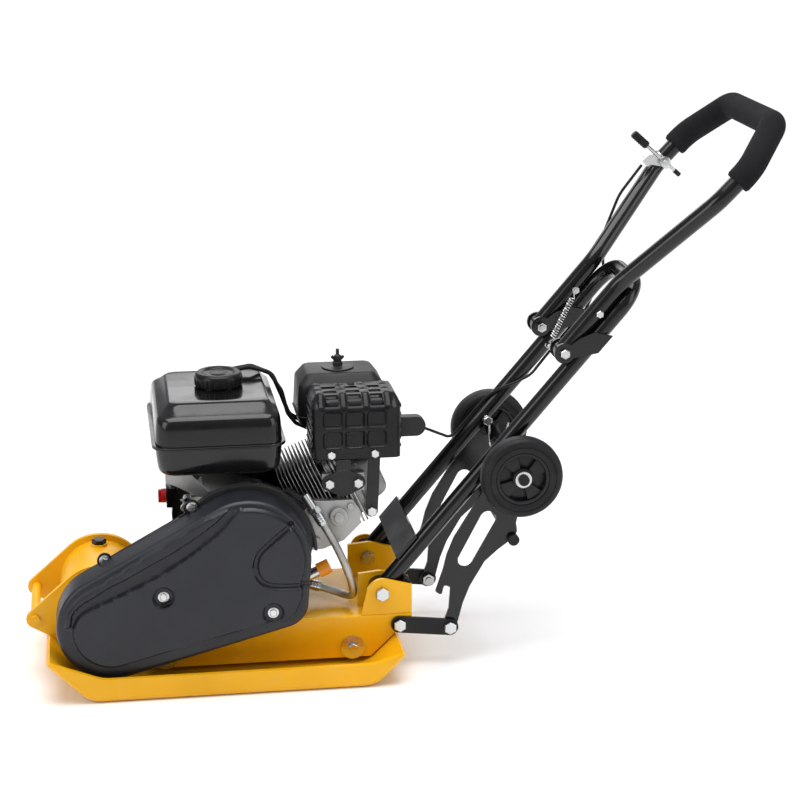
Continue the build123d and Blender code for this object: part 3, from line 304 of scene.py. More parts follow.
class Shape:
    """Vertices and faces collected from simple solids."""

    def __init__(self):
        self.verts = []
        self.faces = []

    def add(self, verts, faces):
        start = len(self.verts)
        self.verts += [tuple(v) for v in verts]
        self.faces += [[start + i for i in face] for face in faces]

    def skin(self, rings, capped=True):
        """Surface through closed rings of equally many points, with its two ends closed when capped."""
        count = len(rings[0])
        verts = [p for ring in rings for p in ring]
        faces = []
        for row in range(len(rings) - 1):
            here, above = row * count, (row + 1) * count
            for i in range(count):
                j = (i + 1) % count
                faces.append([here + i, here + j, above + j, above + i])
        if capped:
            faces.append(list(range(count))[::-1])
            faces.append([(len(rings) - 1) * count + i for i in range(count)])
        self.add(verts, faces)
        return self

    def rod(self, start, end, radius, sides=24, edge=0.0):
        """Round bar; `edge` rounds its two rims."""
        origin = Vector(start)
        length = (Vector(end) - origin).length
        along, u, v = frame_round(Vector(end) - origin)
        stations = [(0, radius), (length, radius)]
        if edge:
            shy = edge * 0.3
            stations = [(0, radius - edge), (shy, radius - shy), (edge, radius)]
            stations += [(length - edge, radius), (length - shy, radius - shy), (length, radius - edge)]
        rings = []
        for s, r in stations:
            centre = origin + along * s
            rings.append([centre + (u * cos(t) + v * sin(t)) * r for t in turn(sides)])
        return self.skin(rings)

    def lathe(self, point, axis, profile, sides=96, wave=None):
        """Solid of revolution: `profile` is a closed loop of (radius, height), or runs from axis to axis."""
        along, u, v = frame_round(axis)
        origin = Vector(point)
        rings = []
        for t in turn(sides):
            ring = []
            for radius, height in profile:
                r = radius + (wave(t, radius, height) if wave else 0.0)
                ring.append(origin + along * height + (u * cos(t) + v * sin(t)) * r)
            rings.append(ring)
        rings.append(rings[0])
        return self.skin(rings, capped=False)

    def prism(self, outline, low, high):
        """Plate from an (x, z) outline between two y values."""
        return self.skin([[(x, low, z) for x, z in outline], [(x, high, z) for x, z in outline]])

    def box(self, low, high):
        """Upright box between two opposite corners."""
        (x0, y0, z0), (x1, y1, z1) = low, high
        return self.prism([(x0, z0), (x1, z0), (x1, z1), (x0, z1)], y0, y1)

    def hexagon(self, seat, axis, across, height):
        """Bolt head with a chamfered top."""
        along, u, v = frame_round(axis)
        origin = Vector(seat)
        reach = across / 2 / cos(pi / 6)
        rings = []
        for h, r in ((0, reach), (height * 0.78, reach), (height, reach * 0.86)):
            rings.append([origin + along * h + (u * cos(t) + v * sin(t)) * r for t in turn(6)])
        return self.skin(rings)

    def tube(self, path, radius, sides=16):
        """Round bar that follows a list of points; `radius` may change along it."""
        points = [Vector(p) for p in path]
        normal = None
        rings = []
        for i, p in enumerate(points):
            ahead = (points[min(i + 1, len(points) - 1)] - points[max(i - 1, 0)]).normalized()
            normal = ahead.orthogonal() if normal is None else normal - ahead * normal.dot(ahead)
            normal.normalize()
            side = ahead.cross(normal)
            r = radius(i / (len(points) - 1)) if callable(radius) else radius
            rings.append([p + (normal * cos(t) + side * sin(t)) * r for t in turn(sides)])
        return self.skin(rings)

    def piece(self, name, slot, body, replaces=(), bevel=0.0):
        return new_piece(name, slot, body, self.verts, self.faces, replaces, bevel)


def turn(count):
    """Angles of evenly spaced points round a circle."""
    return [2 * pi * i / count for i in range(count)]


def bent(points, radii, step=6.0):
    """Points along straight runs joined by arcs."""
    corners = [Vector(p) for p in points]
    path = [corners[0]]
    for before, here, after, radius in zip(corners, corners[1:], corners[2:], radii):
        one = (here - before).normalized()
        two = (after - here).normalized()
        angle = one.angle(two)
        cut = radius * tan(angle / 2)
        start = here - one * cut
        bend = (two - one * one.dot(two)).normalized()
        centre = start + bend * radius
        count = max(4, int(radius * angle / step * 2))
        for i in range(count + 1):
            t = angle * i / count
            path.append(centre - bend * radius * cos(t) + one * radius * sin(t))
    path.append(corners[-1])
    dense = [path[0]]
    for a, b in zip(path, path[1:]):
        count = max(1, int((b - a).length / step))
        dense += [a.lerp(b, (i + 1) / count) for i in range(count)]
    return [p for i, p in enumerate(dense) if i == 0 or (p - dense[i - 1]).length > 1e-4]


def smooth_curve(points, per_run=8):
    """Points on a Catmull-Rom curve through the given ones."""
    knots = [Vector(p) for p in points]
    knots = [knots[0] * 2 - knots[1], *knots, knots[-1] * 2 - knots[-2]]
    curve = []
    for a, b, c, d in zip(knots, knots[1:], knots[2:], knots[3:]):
        slope = c - a
        bend = 2 * a - 5 * b + 4 * c - d
        twist = 3 * b - 3 * c + d - a
        for i in range(per_run):
            t = i / per_run
            curve.append(0.5 * (2 * b + slope * t + bend * t * t + twist * t ** 3))
    return curve + [knots[-2]]


def rounded_box(z, x0, x1, y0, y1, corner, per_corner=10):
    """Level outline of a box with round corners."""
    ring = []
    right, left = x1 - corner, x0 + corner
    far, near = y1 - corner, y0 + corner
    for quarter, (cx, cy) in enumerate(((right, far), (left, far), (left, near), (right, near))):
        for i in range(per_corner + 1):
            t = (quarter + i / per_corner) * pi / 2
            ring.append((cx + corner * cos(t), cy + corner * sin(t), z))
    return ring


def inset_boxes(z_inset, x0, x1, y0, y1, corner):
    """Rings for `skin` from (height, inset) pairs off one box."""
    rings = []
    for z, inset in z_inset:
        round_off = max(1.0, corner - inset * 0.6)
        rings.append(rounded_box(z, x0 + inset, x1 - inset, y0 + inset, y1 - inset, round_off))
    return rings


# ---- handle frame, the same as the solid model's ----
SLOPE = radians(49.85)
PIVOT = (232.0, 113.0)


def on_handle(along, offset=0.0, y=0.0):
    """Point on the lower handle, from its distance along the slope and its offset square to it."""
    return (
        PIVOT[0] + along * cos(SLOPE) - offset * sin(SLOPE),
        y,
        PIVOT[1] + along * sin(SLOPE) + offset * cos(SLOPE),
    )


HINGE = on_handle(441.5, 25.6)
UPPER_PATH = [
    (HINGE[0], -78, HINGE[2]), (580.5, -78, 566), (695, -156, 694), (738, -157, 739), (789, -98, 791),
    (789, 98, 791), (738, 157, 739), (695, 156, 694), (580.5, 78, 566), (HINGE[0], 78, HINGE[2]),
]

# ---- foam grip ----
FOAM_RADIUS = 19.0
FOAM_END_RADIUS = 17.4
FOAM_RIM = 2.0
FOAM_STEP = 3.0
FOAM_BENDS = [50, 28, 28, 50]
FOAM_OVERLAP = 26


def foam_grip():
    """Sleeve round the top of the handle, and a little way down its two sides."""
    bends = UPPER_PATH[3:7]
    back = (Vector(UPPER_PATH[2]) - Vector(bends[0])).normalized() * FOAM_OVERLAP
    first = Vector(bends[0]) + back
    last = Vector((first.x, -first.y, first.z))
    path = bent([first, *bends, last], FOAM_BENDS, step=FOAM_STEP)
    count = len(path) - 1

    def girth(t):
        end = min(t, 1 - t) * count * FOAM_STEP
        if end > FOAM_RIM:
            return FOAM_RADIUS
        return FOAM_END_RADIUS + (FOAM_RADIUS - FOAM_END_RADIUS) * (end / FOAM_RIM) ** 0.5

    grip = Shape().tube(path, girth, sides=40).piece("foam_sleeve", "foam", "upper_frame", ("foam_grip",))


# ---- return springs of the folding handle ----
POST = (HINGE[0] + 50.6, HINGE[2] + 55.5)
HOOK = (on_handle(427.5)[0], on_handle(427.5)[2])
SPRING_SIDES = (-56.0, 56.0)
SPRING_TURNS = 17
SPRING_RADIUS = 4.2
SPRING_WIRE = 0.85
SPRING_LOOP = 4.5
LOOP_SHIFT = 0.2
SPRING_TAIL = 13.0
TURN_POINTS = 14
LOOP_POINTS = 24


def handle_spring(y):
    """Coil with an open loop at each end."""
    top = Vector((POST[0], y, POST[1]))
    low = Vector((HOOK[0], y, HOOK[1]))
    along = (low - top).normalized()
    u = Vector((0, 1, 0))
    v = along.cross(u)
    coil_length = (low - top).length - 2 * SPRING_TAIL

    def loop(centre, start, shift):
        angles = [start + 1.6 * pi * i / LOOP_POINTS for i in range(LOOP_POINTS + 1)]
        return [centre + along * (SPRING_LOOP * sin(t) + shift) + v * (SPRING_LOOP * cos(t)) for t in angles]

    path = loop(top, -pi / 2, -LOOP_SHIFT)
    steps = SPRING_TURNS * TURN_POINTS
    for i in range(steps + 1):
        t = 2 * pi * i / TURN_POINTS
        s = SPRING_TAIL + coil_length * i / steps
        path.append(top + along * s + u * (SPRING_RADIUS * sin(t)) + v * (SPRING_RADIUS * cos(t)))
    path += loop(low, -0.6 * pi, LOOP_SHIFT)
    return Shape().tube(path, SPRING_WIRE, sides=8)


def handle_springs():
    """Both springs as one piece, stretched between the two halves of the handle."""
    both_sides = Shape()
    for y in SPRING_SIDES:
        one = handle_spring(y)
        both_sides.add(one.verts, one.faces)
    coils = both_sides.piece("spring_coils", "zinc", None, ("handle_springs",))
    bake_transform(coils)


# ---- wheels ----
WHEEL = (431.4, 293.1)
SPOKES = 8
SPOKE_HALF_WIDTHS = (9.6, 3.0)
HUB_REACH = 15.0
RIM_REACH = 33.8
TREAD_HALF = [
    (39.5, -14), (42, -15), (47, -15), (47.6, -13.9), (49.4, -13.9), (50, -15), (54, -14.6), (57.4, -12.2),
    (59.3, -8.6), (60, -4.5),
]
RING_HALF = [(39, -13), (38.4, -13.6), (35, -13.6), (34, -12.6), (33.4, -6)]
HUB_HALF = [(8.05, -13.4), (12, -13.6), (14.6, -12.8), (15.4, -6)]


def mirrored(half):
    """Closed (radius, height) loop from the half below the wheel's middle plane."""
    whole = half + [(radius, -height) for radius, height in reversed(half)]
    return whole + whole[:1]


def wheel(side, y_centre, body):
    """Rubber tyre, and a moulded rim of eight sectors that lie deep and shallow by turns."""
    centre = (WHEEL[0], y_centre, WHEEL[1])
    tread = mirrored(TREAD_HALF)
    tread.insert(-1, (39.2, 0))
    tyre = Shape().lathe(centre, (0, 1, 0), tread, sides=128)
    tyre.piece(f"tyre_{side}_body", "tyre", body, (f"tyre_{side}",))
    rim = Shape().lathe(centre, (0, 1, 0), mirrored(RING_HALF), sides=96)
    rim.lathe(centre, (0, 1, 0), mirrored(HUB_HALF), sides=64)
    sector = 2 * pi / SPOKES
    for index in range(SPOKES):
        deep = SPOKE_HALF_WIDTHS[index % 2]
        start = sector * index + 0.2
        arc = [start + sector * (0.05 + 0.9 * k / 8) for k in range(9)]
        outline = [(RIM_REACH, t) for t in arc] + [(HUB_REACH, t) for t in reversed(arc)]
        xz = [(WHEEL[0] + r * cos(t), WHEEL[1] + r * sin(t)) for r, t in outline]
        rim.prism(xz, y_centre - deep, y_centre + deep)
    web = [(RIM_REACH, -2.4), (RIM_REACH, 2.4), (HUB_REACH, 2.4), (HUB_REACH, -2.4)]
    rim.lathe(centre, (0, 1, 0), web + web[:1], sides=64)
    rim.piece(f"rim_{side}_body", "rim", body, (f"rim_{side}",), bevel=0.5)


# ---- belt guard ----
COVER_FRONT = (-162.5, 104.5, 78.5)
COVER_REAR = (31.0, 194.0, 92.0)
COVER_HEEL = (80.0, 128.0, 38.0)
COVER_BOLTS = ((-88.9, 150.9), (66.2, 118.0))
COVER_FACE = 163.0
COVER_BACK = 104.0
COVER_CEILING = 150.0
COVER_WALL = 3.0
COVER_ROUNDING = 9.0
FIELD_DEPTH = 7.0
SHELF_RISE = 4.4
POCKET_DEPTH = 4.2
POCKET_WIDTH = 7.2
WELL_DEPTH = 6.0
WELL_RADIUS = 14.5


def hull_of(points):
    """Convex outline, anticlockwise in (x, z)."""
    ordered = sorted(set(points))

    def chain(source):
        line = []
        for p in source:
            while len(line) > 1 and cross2(line[-2], line[-1], p) <= 0:
                line.pop()
            line.append(p)
        return line[:-1]

    return chain(ordered) + chain(ordered[::-1])


def cross2(a, b, c):
    """Twice the area of the triangle a, b, c: positive when it turns left."""
    return (b[0] - a[0]) * (c[1] - a[1]) - (b[1] - a[1]) * (c[0] - a[0])


def ring_xz(x, z, radius, count=40):
    """Points round a circle in a plane of constant y."""
    return [(x + radius * cos(t), z + radius * sin(t)) for t in turn(count)]


def cover_outline():
    """Edge of the belt guard, seen from its face."""
    points = []
    for (x, z, radius), count in ((COVER_FRONT, 180), (COVER_REAR, 180), (COVER_HEEL, 120)):
        points += ring_xz(x, z, radius, count)
    return hull_of(points)


def resampled(outline, step):
    """Points at an even distance round a closed outline."""
    loop = [Vector(p) for p in outline] + [Vector(outline[0])]
    lengths = [(b - a).length for a, b in zip(loop, loop[1:])]
    count = int(sum(lengths) / step)
    spacing = sum(lengths) / count
    points = []
    run, index = 0.0, 0
    for k in range(count):
        target = k * spacing
        while run + lengths[index] < target:
            run += lengths[index]
            index += 1
        points.append(loop[index].lerp(loop[index + 1], (target - run) / lengths[index]))
    return points


def line_distance(xz, path, closed=False):
    """Distance from each point to a polyline; negative inside when it is closed."""
    nodes = np.array([(p[0], p[1]) for p in path])
    if closed:
        nodes = np.vstack([nodes, nodes[:1]])
    best = np.full(len(xz), 1e9)
    inside = np.zeros(len(xz), bool)
    for a, b in zip(nodes, nodes[1:]):
        along = b - a
        t = np.clip(((xz - a) @ along) / max(along @ along, 1e-9), 0, 1)
        best = np.minimum(best, np.hypot(*(xz - a - t[:, None] * along).T))
        if closed and a[1] != b[1]:
            crosses = (a[1] > xz[:, 1]) != (b[1] > xz[:, 1])
            inside ^= crosses & (xz[:, 0] < (b[0] - a[0]) * (xz[:, 1] - a[1]) / (b[1] - a[1]) + a[0])
    return np.where(inside, -best, best) if closed else best


def step_up(distance, width):
    """1 inside, 0 outside, with a smooth ramp of the given width."""
    t = np.clip(0.5 - distance / width, 0, 1)
    return t * t * (3 - 2 * t)


def arc_points(centre, radius, start, end, count=24):
    """Points on an arc from one angle to another, in degrees."""
    angles = [radians(start + (end - start) * i / count) for i in range(count + 1)]
    return [(centre[0] + radius * cos(t), centre[1] + radius * sin(t)) for t in angles]


def smooth_xz(points):
    """Plain (x, z) pairs on a smooth curve through the given ones."""
    return [(p.x, p.y) for p in smooth_curve(points)]


def cover_relief(xz, rim):
    """Depth behind the highest face, for points in the plane of the face and their distance from its edge.

    The rim is rounded. A large and a narrow raised field have a channel between them, a curved groove
    marks the pocket at the rear, and each bolt sits in a well.
    """
    upper = [(-216, 112), (-204, 131), (-162, 151), (-101, 180), (-48, 213), (-9, 243), (12, 266), (22, 277)]
    field = smooth_xz(upper) + arc_points(COVER_REAR, 81, 93, -22)
    field += [(108, 140), (98, 116), (82, 106), (60, 104), (30, 97)] + arc_points(COVER_FRONT, 55, -72, -186)
    crest = [(-222, 112), (-212, 138), (-174, 163), (-111, 196), (-60, 225), (-19, 253), (4, 275)]
    shelf = smooth_xz(crest) + [(-6, 271), (-30, 262)] + arc_points(COVER_FRONT, 66, 116, 174)
    groove = [(93, 250), (66, 227), (47, 208), (42, 187), (50, 168), (67, 160), (92, 158), (120, 158)]
    pocket = smooth_xz(groove)
    slope = 3.6
    depth = FIELD_DEPTH - FIELD_DEPTH * step_up(line_distance(xz, field, True), slope)
    depth = np.minimum(depth, FIELD_DEPTH - SHELF_RISE * step_up(line_distance(xz, shelf, True), slope))
    depth += POCKET_DEPTH * step_up(line_distance(xz, pocket) - POCKET_WIDTH / 2, 3.2)
    for x, z in COVER_BOLTS:
        reach = np.hypot(xz[:, 0] - x, xz[:, 1] - z)
        depth = np.maximum(depth, WELL_DEPTH * step_up(reach - WELL_RADIUS, 4.0))
    from_crown = np.clip(COVER_ROUNDING - rim, 0, COVER_ROUNDING)
    depth += COVER_ROUNDING - np.sqrt(np.clip(COVER_ROUNDING ** 2 - from_crown ** 2, 0, COVER_ROUNDING ** 2))
    return depth


def belt_cover():
    """Moulded belt guard: a pressed face on a thin wall that is open at the back."""
    edge = resampled(cover_outline(), 1.7)
    front, rear = Vector(COVER_FRONT[:2]), Vector(COVER_REAR[:2])
    spine = rear - front
    centres = []
    for p in edge:
        t = max(0.0, min(1.0, (p - front).dot(spine) / spine.length_squared))
        centres.append(front + spine * t)
    rows = [0, 0.3, 0.7, 1.2, 1.9, 2.8, 4, 5.5, 7.2, 9] + [9 + 1.5 * k for k in range(1, 60)]
    rings = []
    for inset in rows:
        rings.append([p.lerp(c, min(0.995, inset / (c - p).length)) for p, c in zip(edge, centres)])
    flat = np.array([(p.x, p.y) for ring in rings for p in ring])
    depth = cover_relief(flat, np.repeat(np.array(rows, float), len(edge))).reshape(len(rows), len(edge))
    face = [[(p.x, -(COVER_FACE - d), p.y) for p, d in zip(*pair)] for pair in zip(rings, depth)]
    wall = [p + (c - p).normalized() * COVER_WALL for p, c in zip(edge, centres)]
    ceiling, lip = [[(p.x, -y, p.y) for p in wall] for y in (COVER_CEILING, COVER_BACK)]
    back = [(p.x, -COVER_BACK, p.y) for p in edge]
    cover = Shape().skin([ceiling, lip, back, *face])
    cover.piece("belt_guard_cover", "cover_plastic", "chassis", ("belt_cover",))


# ---- fuel tank ----
TANK_X = (-91, 91)
TANK_Y = (-87, 155)
SEAM_X = (-96, 96)
SEAM_Y = (-90, 158)
TANK_CORNER = 26
FILLER = (7.5, 34, 0)
CAP_RIBS = 24
CAP_RIB_DEPTH = 0.8


def tank():
    """Two pressed halves that meet at a flanged seam, and a collar round the filler."""
    low = [(302, 16), (302.4, 11), (304, 7.5), (307, 5), (313, 3), (328, 1.2), (343, 0)]
    lower = Shape().skin(inset_boxes(low, *TANK_X, *TANK_Y, TANK_CORNER))
    seam = [(343, 1), (343.3, 0.3), (344, 0), (345, 0), (345.4, 0.3), (345.5, 1)]
    lower.skin(inset_boxes(seam, *SEAM_X, *SEAM_Y, TANK_CORNER))
    lower.piece("tank_bottom", "black_gloss", "chassis", ("tank_lower",))
    seam = [(345.5, 1), (345.7, 0.3), (346.4, 0), (347.4, 0), (347.9, 0.4), (348, 1)]
    upper = Shape().skin(inset_boxes(seam, *SEAM_X, *SEAM_Y, TANK_CORNER))
    rise = [
        (347, 0.0), (358, 0.6), (370, 1.8), (378, 3.2), (382, 4.4), (385, 6.2), (387.4, 9), (389.4, 13),
        (393, 20), (396.6, 26), (399, 29.5), (401, 32.4), (402.4, 35.5), (403, 39), (403.2, 48), (403.2, 70),
    ]
    rings = []
    for z, inset in rise:
        side = inset * 0.55
        x0, x1 = TANK_X[0] + side * 1.2, TANK_X[1] - side * 0.9
        y0, y1 = TANK_Y[0] + inset, TANK_Y[1] - inset
        rings.append(rounded_box(z, x0, x1, y0, y1, max(8.0, 25 - inset * 0.25)))
    upper.skin(rings)
    collar = [(30, 403), (30, 405.5), (28.5, 407), (20, 407), (20, 403)]
    upper.lathe(FILLER, (0, 0, 1), collar + collar[:1], sides=64)
    upper.piece("tank_top", "black_gloss", "chassis", ("tank_upper",))


def fuel_cap():
    """Cap with a ribbed edge and a domed top."""
    def ribs(t, radius, height):
        on_edge = radius > 35 and height < 419
        return -CAP_RIB_DEPTH * max(0.0, cos(CAP_RIBS * t)) ** 3 if on_edge else 0.0

    outer = [
        (0, 407.5), (27, 407.5), (27, 405.2), (33.6, 405.2), (35.4, 406.6), (35.5, 409), (35.5, 416),
        (35.2, 419), (33.6, 422.4), (31, 424.4), (28, 425), (25, 424.4), (22.6, 422.6), (21, 421.6),
        (14, 421.4), (12.6, 421.8), (11, 422.8), (8, 423.2), (0, 423.3),
    ]
    cap = Shape().lathe(FILLER, (0, 0, 1), outer, sides=192, wave=ribs)
    cap.piece("filler_cap", "black_satin", "fuel_cap", ("fuel_cap",))


# ---- muffler guard, pressed from sheet ----
GUARD_X = (136.0, 264.0)
GUARD_Y = (-64.0, 14.0)
GUARD_FOOT = 312.0
GUARD_FOLD = 388.0
GUARD_TOP = 405.0
GUARD_CORNER = 9.0
GUARD_TUCK = 8.0
GUARD_SHEET = 1.2
GUARD_STEP = 1.7
GUARD_RIBS = (148.0, 181.0, 214.0, 246.0)
RIB_REACH = 5.0
STUD_ROWS = (-44.0, -22.0, 0.0)
STUD_REACH = 5.5
DISH_COLUMNS = (165.0, 197.0, 229.0)
DISH_ROWS = (371.0, 341.5)
SLAT_PITCH = 12.0
SLOT_PITCH = 17.0


def guard_ring(z, front, sides):
    """Left side, face and right side of the guard at one height, drawn in by `front` and `sides`."""
    x0, x1 = GUARD_X[0] + sides, GUARD_X[1] - sides
    y0, y1 = GUARD_Y[0] + front, GUARD_Y[1]
    corner = min(GUARD_CORNER, (x1 - x0) / 2 - 1)
    side = [(x0, y1 + (y0 + corner - y1) * i / 44) for i in range(44)]
    for i in range(8):
        t = pi / 2 * i / 8
        side.append((x0 + corner - corner * cos(t), y0 + corner - corner * sin(t)))
    face = [(x0 + corner + (x1 - x0 - 2 * corner) * i / 74, y0) for i in range(74)]
    other_side = [(x0 + x1 - x, y) for x, y in reversed(side)]
    return [(x, y, z) for x, y in side + face + other_side]


def pressed_face(x, y, z):
    """Raised panel with six dished squares."""
    border = min(x - 145.5, 248.5 - x, z - 324.5, 388.5 - z)
    lift = 1.4 * max(0.0, min(1.0, border / 3.4))
    if border > 0:
        for cx in DISH_COLUMNS:
            for cz in DISH_ROWS:
                dx, dz = abs(x - cx) - 9.5, abs(z - cz) - 8.0
                reach = hypot(max(dx, 0), max(dz, 0)) - 4.0
                lift -= 4.2 * min(1.0, max(0.0, 0.5 - reach / 2.4))
    return (x, y - lift, z), False


def ribbed_top(x, y, z):
    """Ribs up the shoulder and studs on the top, with slots between the ribs."""
    rib = min(GUARD_RIBS, key=lambda each: abs(each - x))
    away = abs(x - rib)
    lift = 2.4 * (1 - (away / RIB_REACH) ** 4) if away < RIB_REACH else 0.0
    between = away > 6 and GUARD_RIBS[0] < x < GUARD_RIBS[-1]
    if z < GUARD_TOP - 1:
        return (x, y - lift * 0.7, z + lift * 0.7), between and z > GUARD_FOLD + 3
    bump = 0.0
    for row in STUD_ROWS:
        bump = max(bump, 3.0 * max(0.0, 1 - hypot(x - rib, y - row) / STUD_REACH) ** 0.5)
    return (x, y, z + max(bump, lift * 0.4)), between and (-40 < y < -27 or -17 < y < -5)


def slatted_side(x, y, z):
    """Level slats with a row of slots under each."""
    slat = (z - 318) % SLAT_PITCH
    column = (y + 58) % SLOT_PITCH
    lift = 1.5 if slat > 8 else 0.0
    outward = -1 if x < 200 else 1
    return (x + outward * lift, y, z), slat < 6.5 and column > 4 and y > -54


def guard_shape(x, y, z):
    """Where the pressing moves one point of the sheet, and whether the point lies in an opening."""
    if y < GUARD_Y[0] + 0.5:
        return pressed_face(x, y, z)
    if z > GUARD_FOLD and GUARD_X[0] + GUARD_CORNER < x < GUARD_X[1] - GUARD_CORNER:
        return ribbed_top(x, y, z)
    on_side = x < GUARD_X[0] + 0.5 or x > GUARD_X[1] - 0.5
    if on_side and 318 < z < 392 and y < 10:
        return slatted_side(x, y, z)
    return (x, y, z), False


def muffler_guard():
    """Sheet that wraps three sides and the top, with its openings left out of the mesh."""
    shoulder = GUARD_TOP - GUARD_FOLD
    levels = [(GUARD_FOOT + GUARD_STEP * i, 0.0, 0.0) for i in range(45)]
    for i in range(11):
        levels.append((GUARD_FOLD + shoulder * i / 10, shoulder * i / 10, GUARD_TUCK * (i / 10) ** 2))
    for i in range(1, 25):
        levels.append((GUARD_TOP, shoulder + 45 * i / 24, GUARD_TUCK + 52 * i / 24))
    rings = [guard_ring(*level) for level in levels]
    count = len(rings[0])
    shaped = [guard_shape(*point) for ring in rings for point in ring]
    verts = [moved for moved, _ in shaped]
    faces = []
    for row in range(len(rings) - 1):
        here, above = row * count, (row + 1) * count
        for i in range(count - 1):
            quad = [here + i, here + i + 1, above + i + 1, above + i]
            if not all(shaped[corner][1] for corner in quad):
                faces.append(quad)
    shield = new_piece("muffler_shield", "black_satin", "chassis", verts, faces, ("muffler_guard",))
    wall = shield.modifiers.new("wall", "SOLIDIFY")
    wall.thickness = GUARD_SHEET * MM
    wall.offset = 0.0


def muffler_can():
    """Exhaust box behind the guard, its flanges and its brackets."""
    levels = [(320, 8), (321, 4), (324, 1), (328, 0), (392, 0), (396, 1), (399, 4), (400, 8)]
    can = Shape().skin(inset_boxes(levels, 148, 250, -57.5, 6, 16))
    can.box((169, -60.8, 300), (191, -57.5, 336))
    can.rod((248, -22, 346), (268, -22, 346), 13, 32)
    plate = hull_of(ring_xz(159, 276, 11) + ring_xz(201, 276, 11) + ring_xz(180, 276, 20))
    can.prism(plate, -66, -60.1)
    can.box((169, -65.4, 280), (191, -60.7, 311))
    tab = hull_of(ring_xz(292, 346, 15) + [(268, 331), (268, 361)])
    can.prism(tab, -28, -12)
    can.prism(hull_of(ring_xz(226, 319, 9) + ring_xz(222, 229, 9)), -60.8, -57.8)
    can.piece("exhaust_box", "dark_metal", "chassis", ("muffler",), bevel=1.2)


# ---- air cleaner ----
CLEANER_STUD = (188, 66)


def air_cleaner():
    """Lid with sloping shoulders, the tray under it, and the wing nut that holds them."""
    lid = [
        (352, 1.2), (352.6, 0.3), (354, 0), (390, 1.6), (397, 2.2), (399.6, 3), (401.4, 4.6), (411.6, 12.6),
        (413.4, 14.6), (414.6, 17.4), (415, 22), (415, 36),
    ]
    box = Shape().skin(inset_boxes(lid, 124, 254, 18, 116, 18))
    box.piece("air_cleaner_lid", "grey_plastic", "chassis", ("air_cleaner_cover",))
    levels = [(337, 7), (337.5, 5), (340, 3.6), (346, 2.6), (349.6, 0.6), (351.4, 0), (352, 0.6)]
    tray = Shape().skin(inset_boxes(levels, 122, 256, 18, 114, 18))
    tray.piece("air_cleaner_tray", "grey_plastic", "chassis", ("air_cleaner_base",))
    x, y = CLEANER_STUD
    dish = [
        (3, 415.4), (24, 415.4), (24.4, 416.2), (23.6, 417), (18, 416.6), (14, 417.6), (9, 418.4),
        (3, 418.4),
    ]
    nut = Shape().lathe((x, y, 0), (0, 0, 1), dish + dish[:1], sides=64)
    nut.hexagon((x, y, 418.2), (0, 0, 1), 13, 6)
    hub = [(0, 424), (5.6, 424), (6.4, 426), (5.2, 433), (3.2, 434.4), (0, 434.4)]
    nut.lathe((x, y, 0), (0, 0, 1), hub, sides=32)
    for side in (-1, 1):
        nut.rod((x + side * 4, y, 427), (x + side * 9, y, 432), 2.4, 12, edge=0.8)
    nut.rod((x, y, 404), (x, y, 443), 2.6, 16, edge=0.6)
    nut.piece("air_cleaner_wing_nut", "dark_metal", "air_cleaner_nut", ("wing_nut",))


# ---- engine ----
CRANK = (33.0, 187.0)
BORE_TILT = radians(25)
BARREL_FINS = 11
BARREL_PITCH = 5.6
BARREL_START = 88.0
HEAD_FINS = 5
HEAD_PITCH = 5.8
HEAD_START = 154.5
FIN_THICKNESS = 1.7
FIN_EDGE = 0.7


def on_bore(along, across, y):
    """Point in the cylinder's frame."""
    return (
        CRANK[0] + along * cos(BORE_TILT) - across * sin(BORE_TILT),
        y,
        CRANK[1] + along * sin(BORE_TILT) + across * cos(BORE_TILT),
    )


def bore_block(shape, levels, half_width, low, high, corner):
    """Block square to the bore, from (distance along it, inset) pairs; `low` and `high` are its y values."""
    rings = []
    for along, inset in levels:
        near, far = 5 - half_width + inset, 5 + half_width - inset
        round_off = max(0.6, corner - inset * 0.5)
        outline = rounded_box(0, near, far, low + inset, high - inset, round_off, 6)
        rings.append([on_bore(along, across, y) for y, across, _ in outline])
    shape.skin(rings)


def plate(start, thickness):
    """Levels of a flat plate for bore_block."""
    return (start, 0), (start + thickness, 0)


def crankcase():
    """Crankcase with its foot, and the gear case lobe with its bosses."""
    corners = [(-52, 110), (110, 110), (110, 150), (-20, 250)]
    outline = hull_of(ring_xz(19, 189, 66) + ring_xz(73, 181, 52) + corners)
    block = Shape().prism(outline, -66, 76)
    block.box((-60, -54, 81), (116, 78, 94)).box((-37, -48, 94), (93, 72, 112))
    lobe = [(80, 172), (150, 176), (180, 188), (204, 212), (205, 232), (193, 250), (132, 250), (80, 226)]
    block.prism(lobe, -66, -46)
    block.rod((172, -74, 226), (172, -60, 226), 14, 40, edge=1.2)
    block.rod((172, -78, 226), (172, -72, 226), 8, 32, edge=1)
    for x, z in ((132, 236), (190, 240), (140, 190)):
        block.rod((x, -71, z), (x, -60, z), 5.5, 20, edge=0.8)
    block.piece("engine_block", "casting", "chassis", ("crankcase",), bevel=2.0)


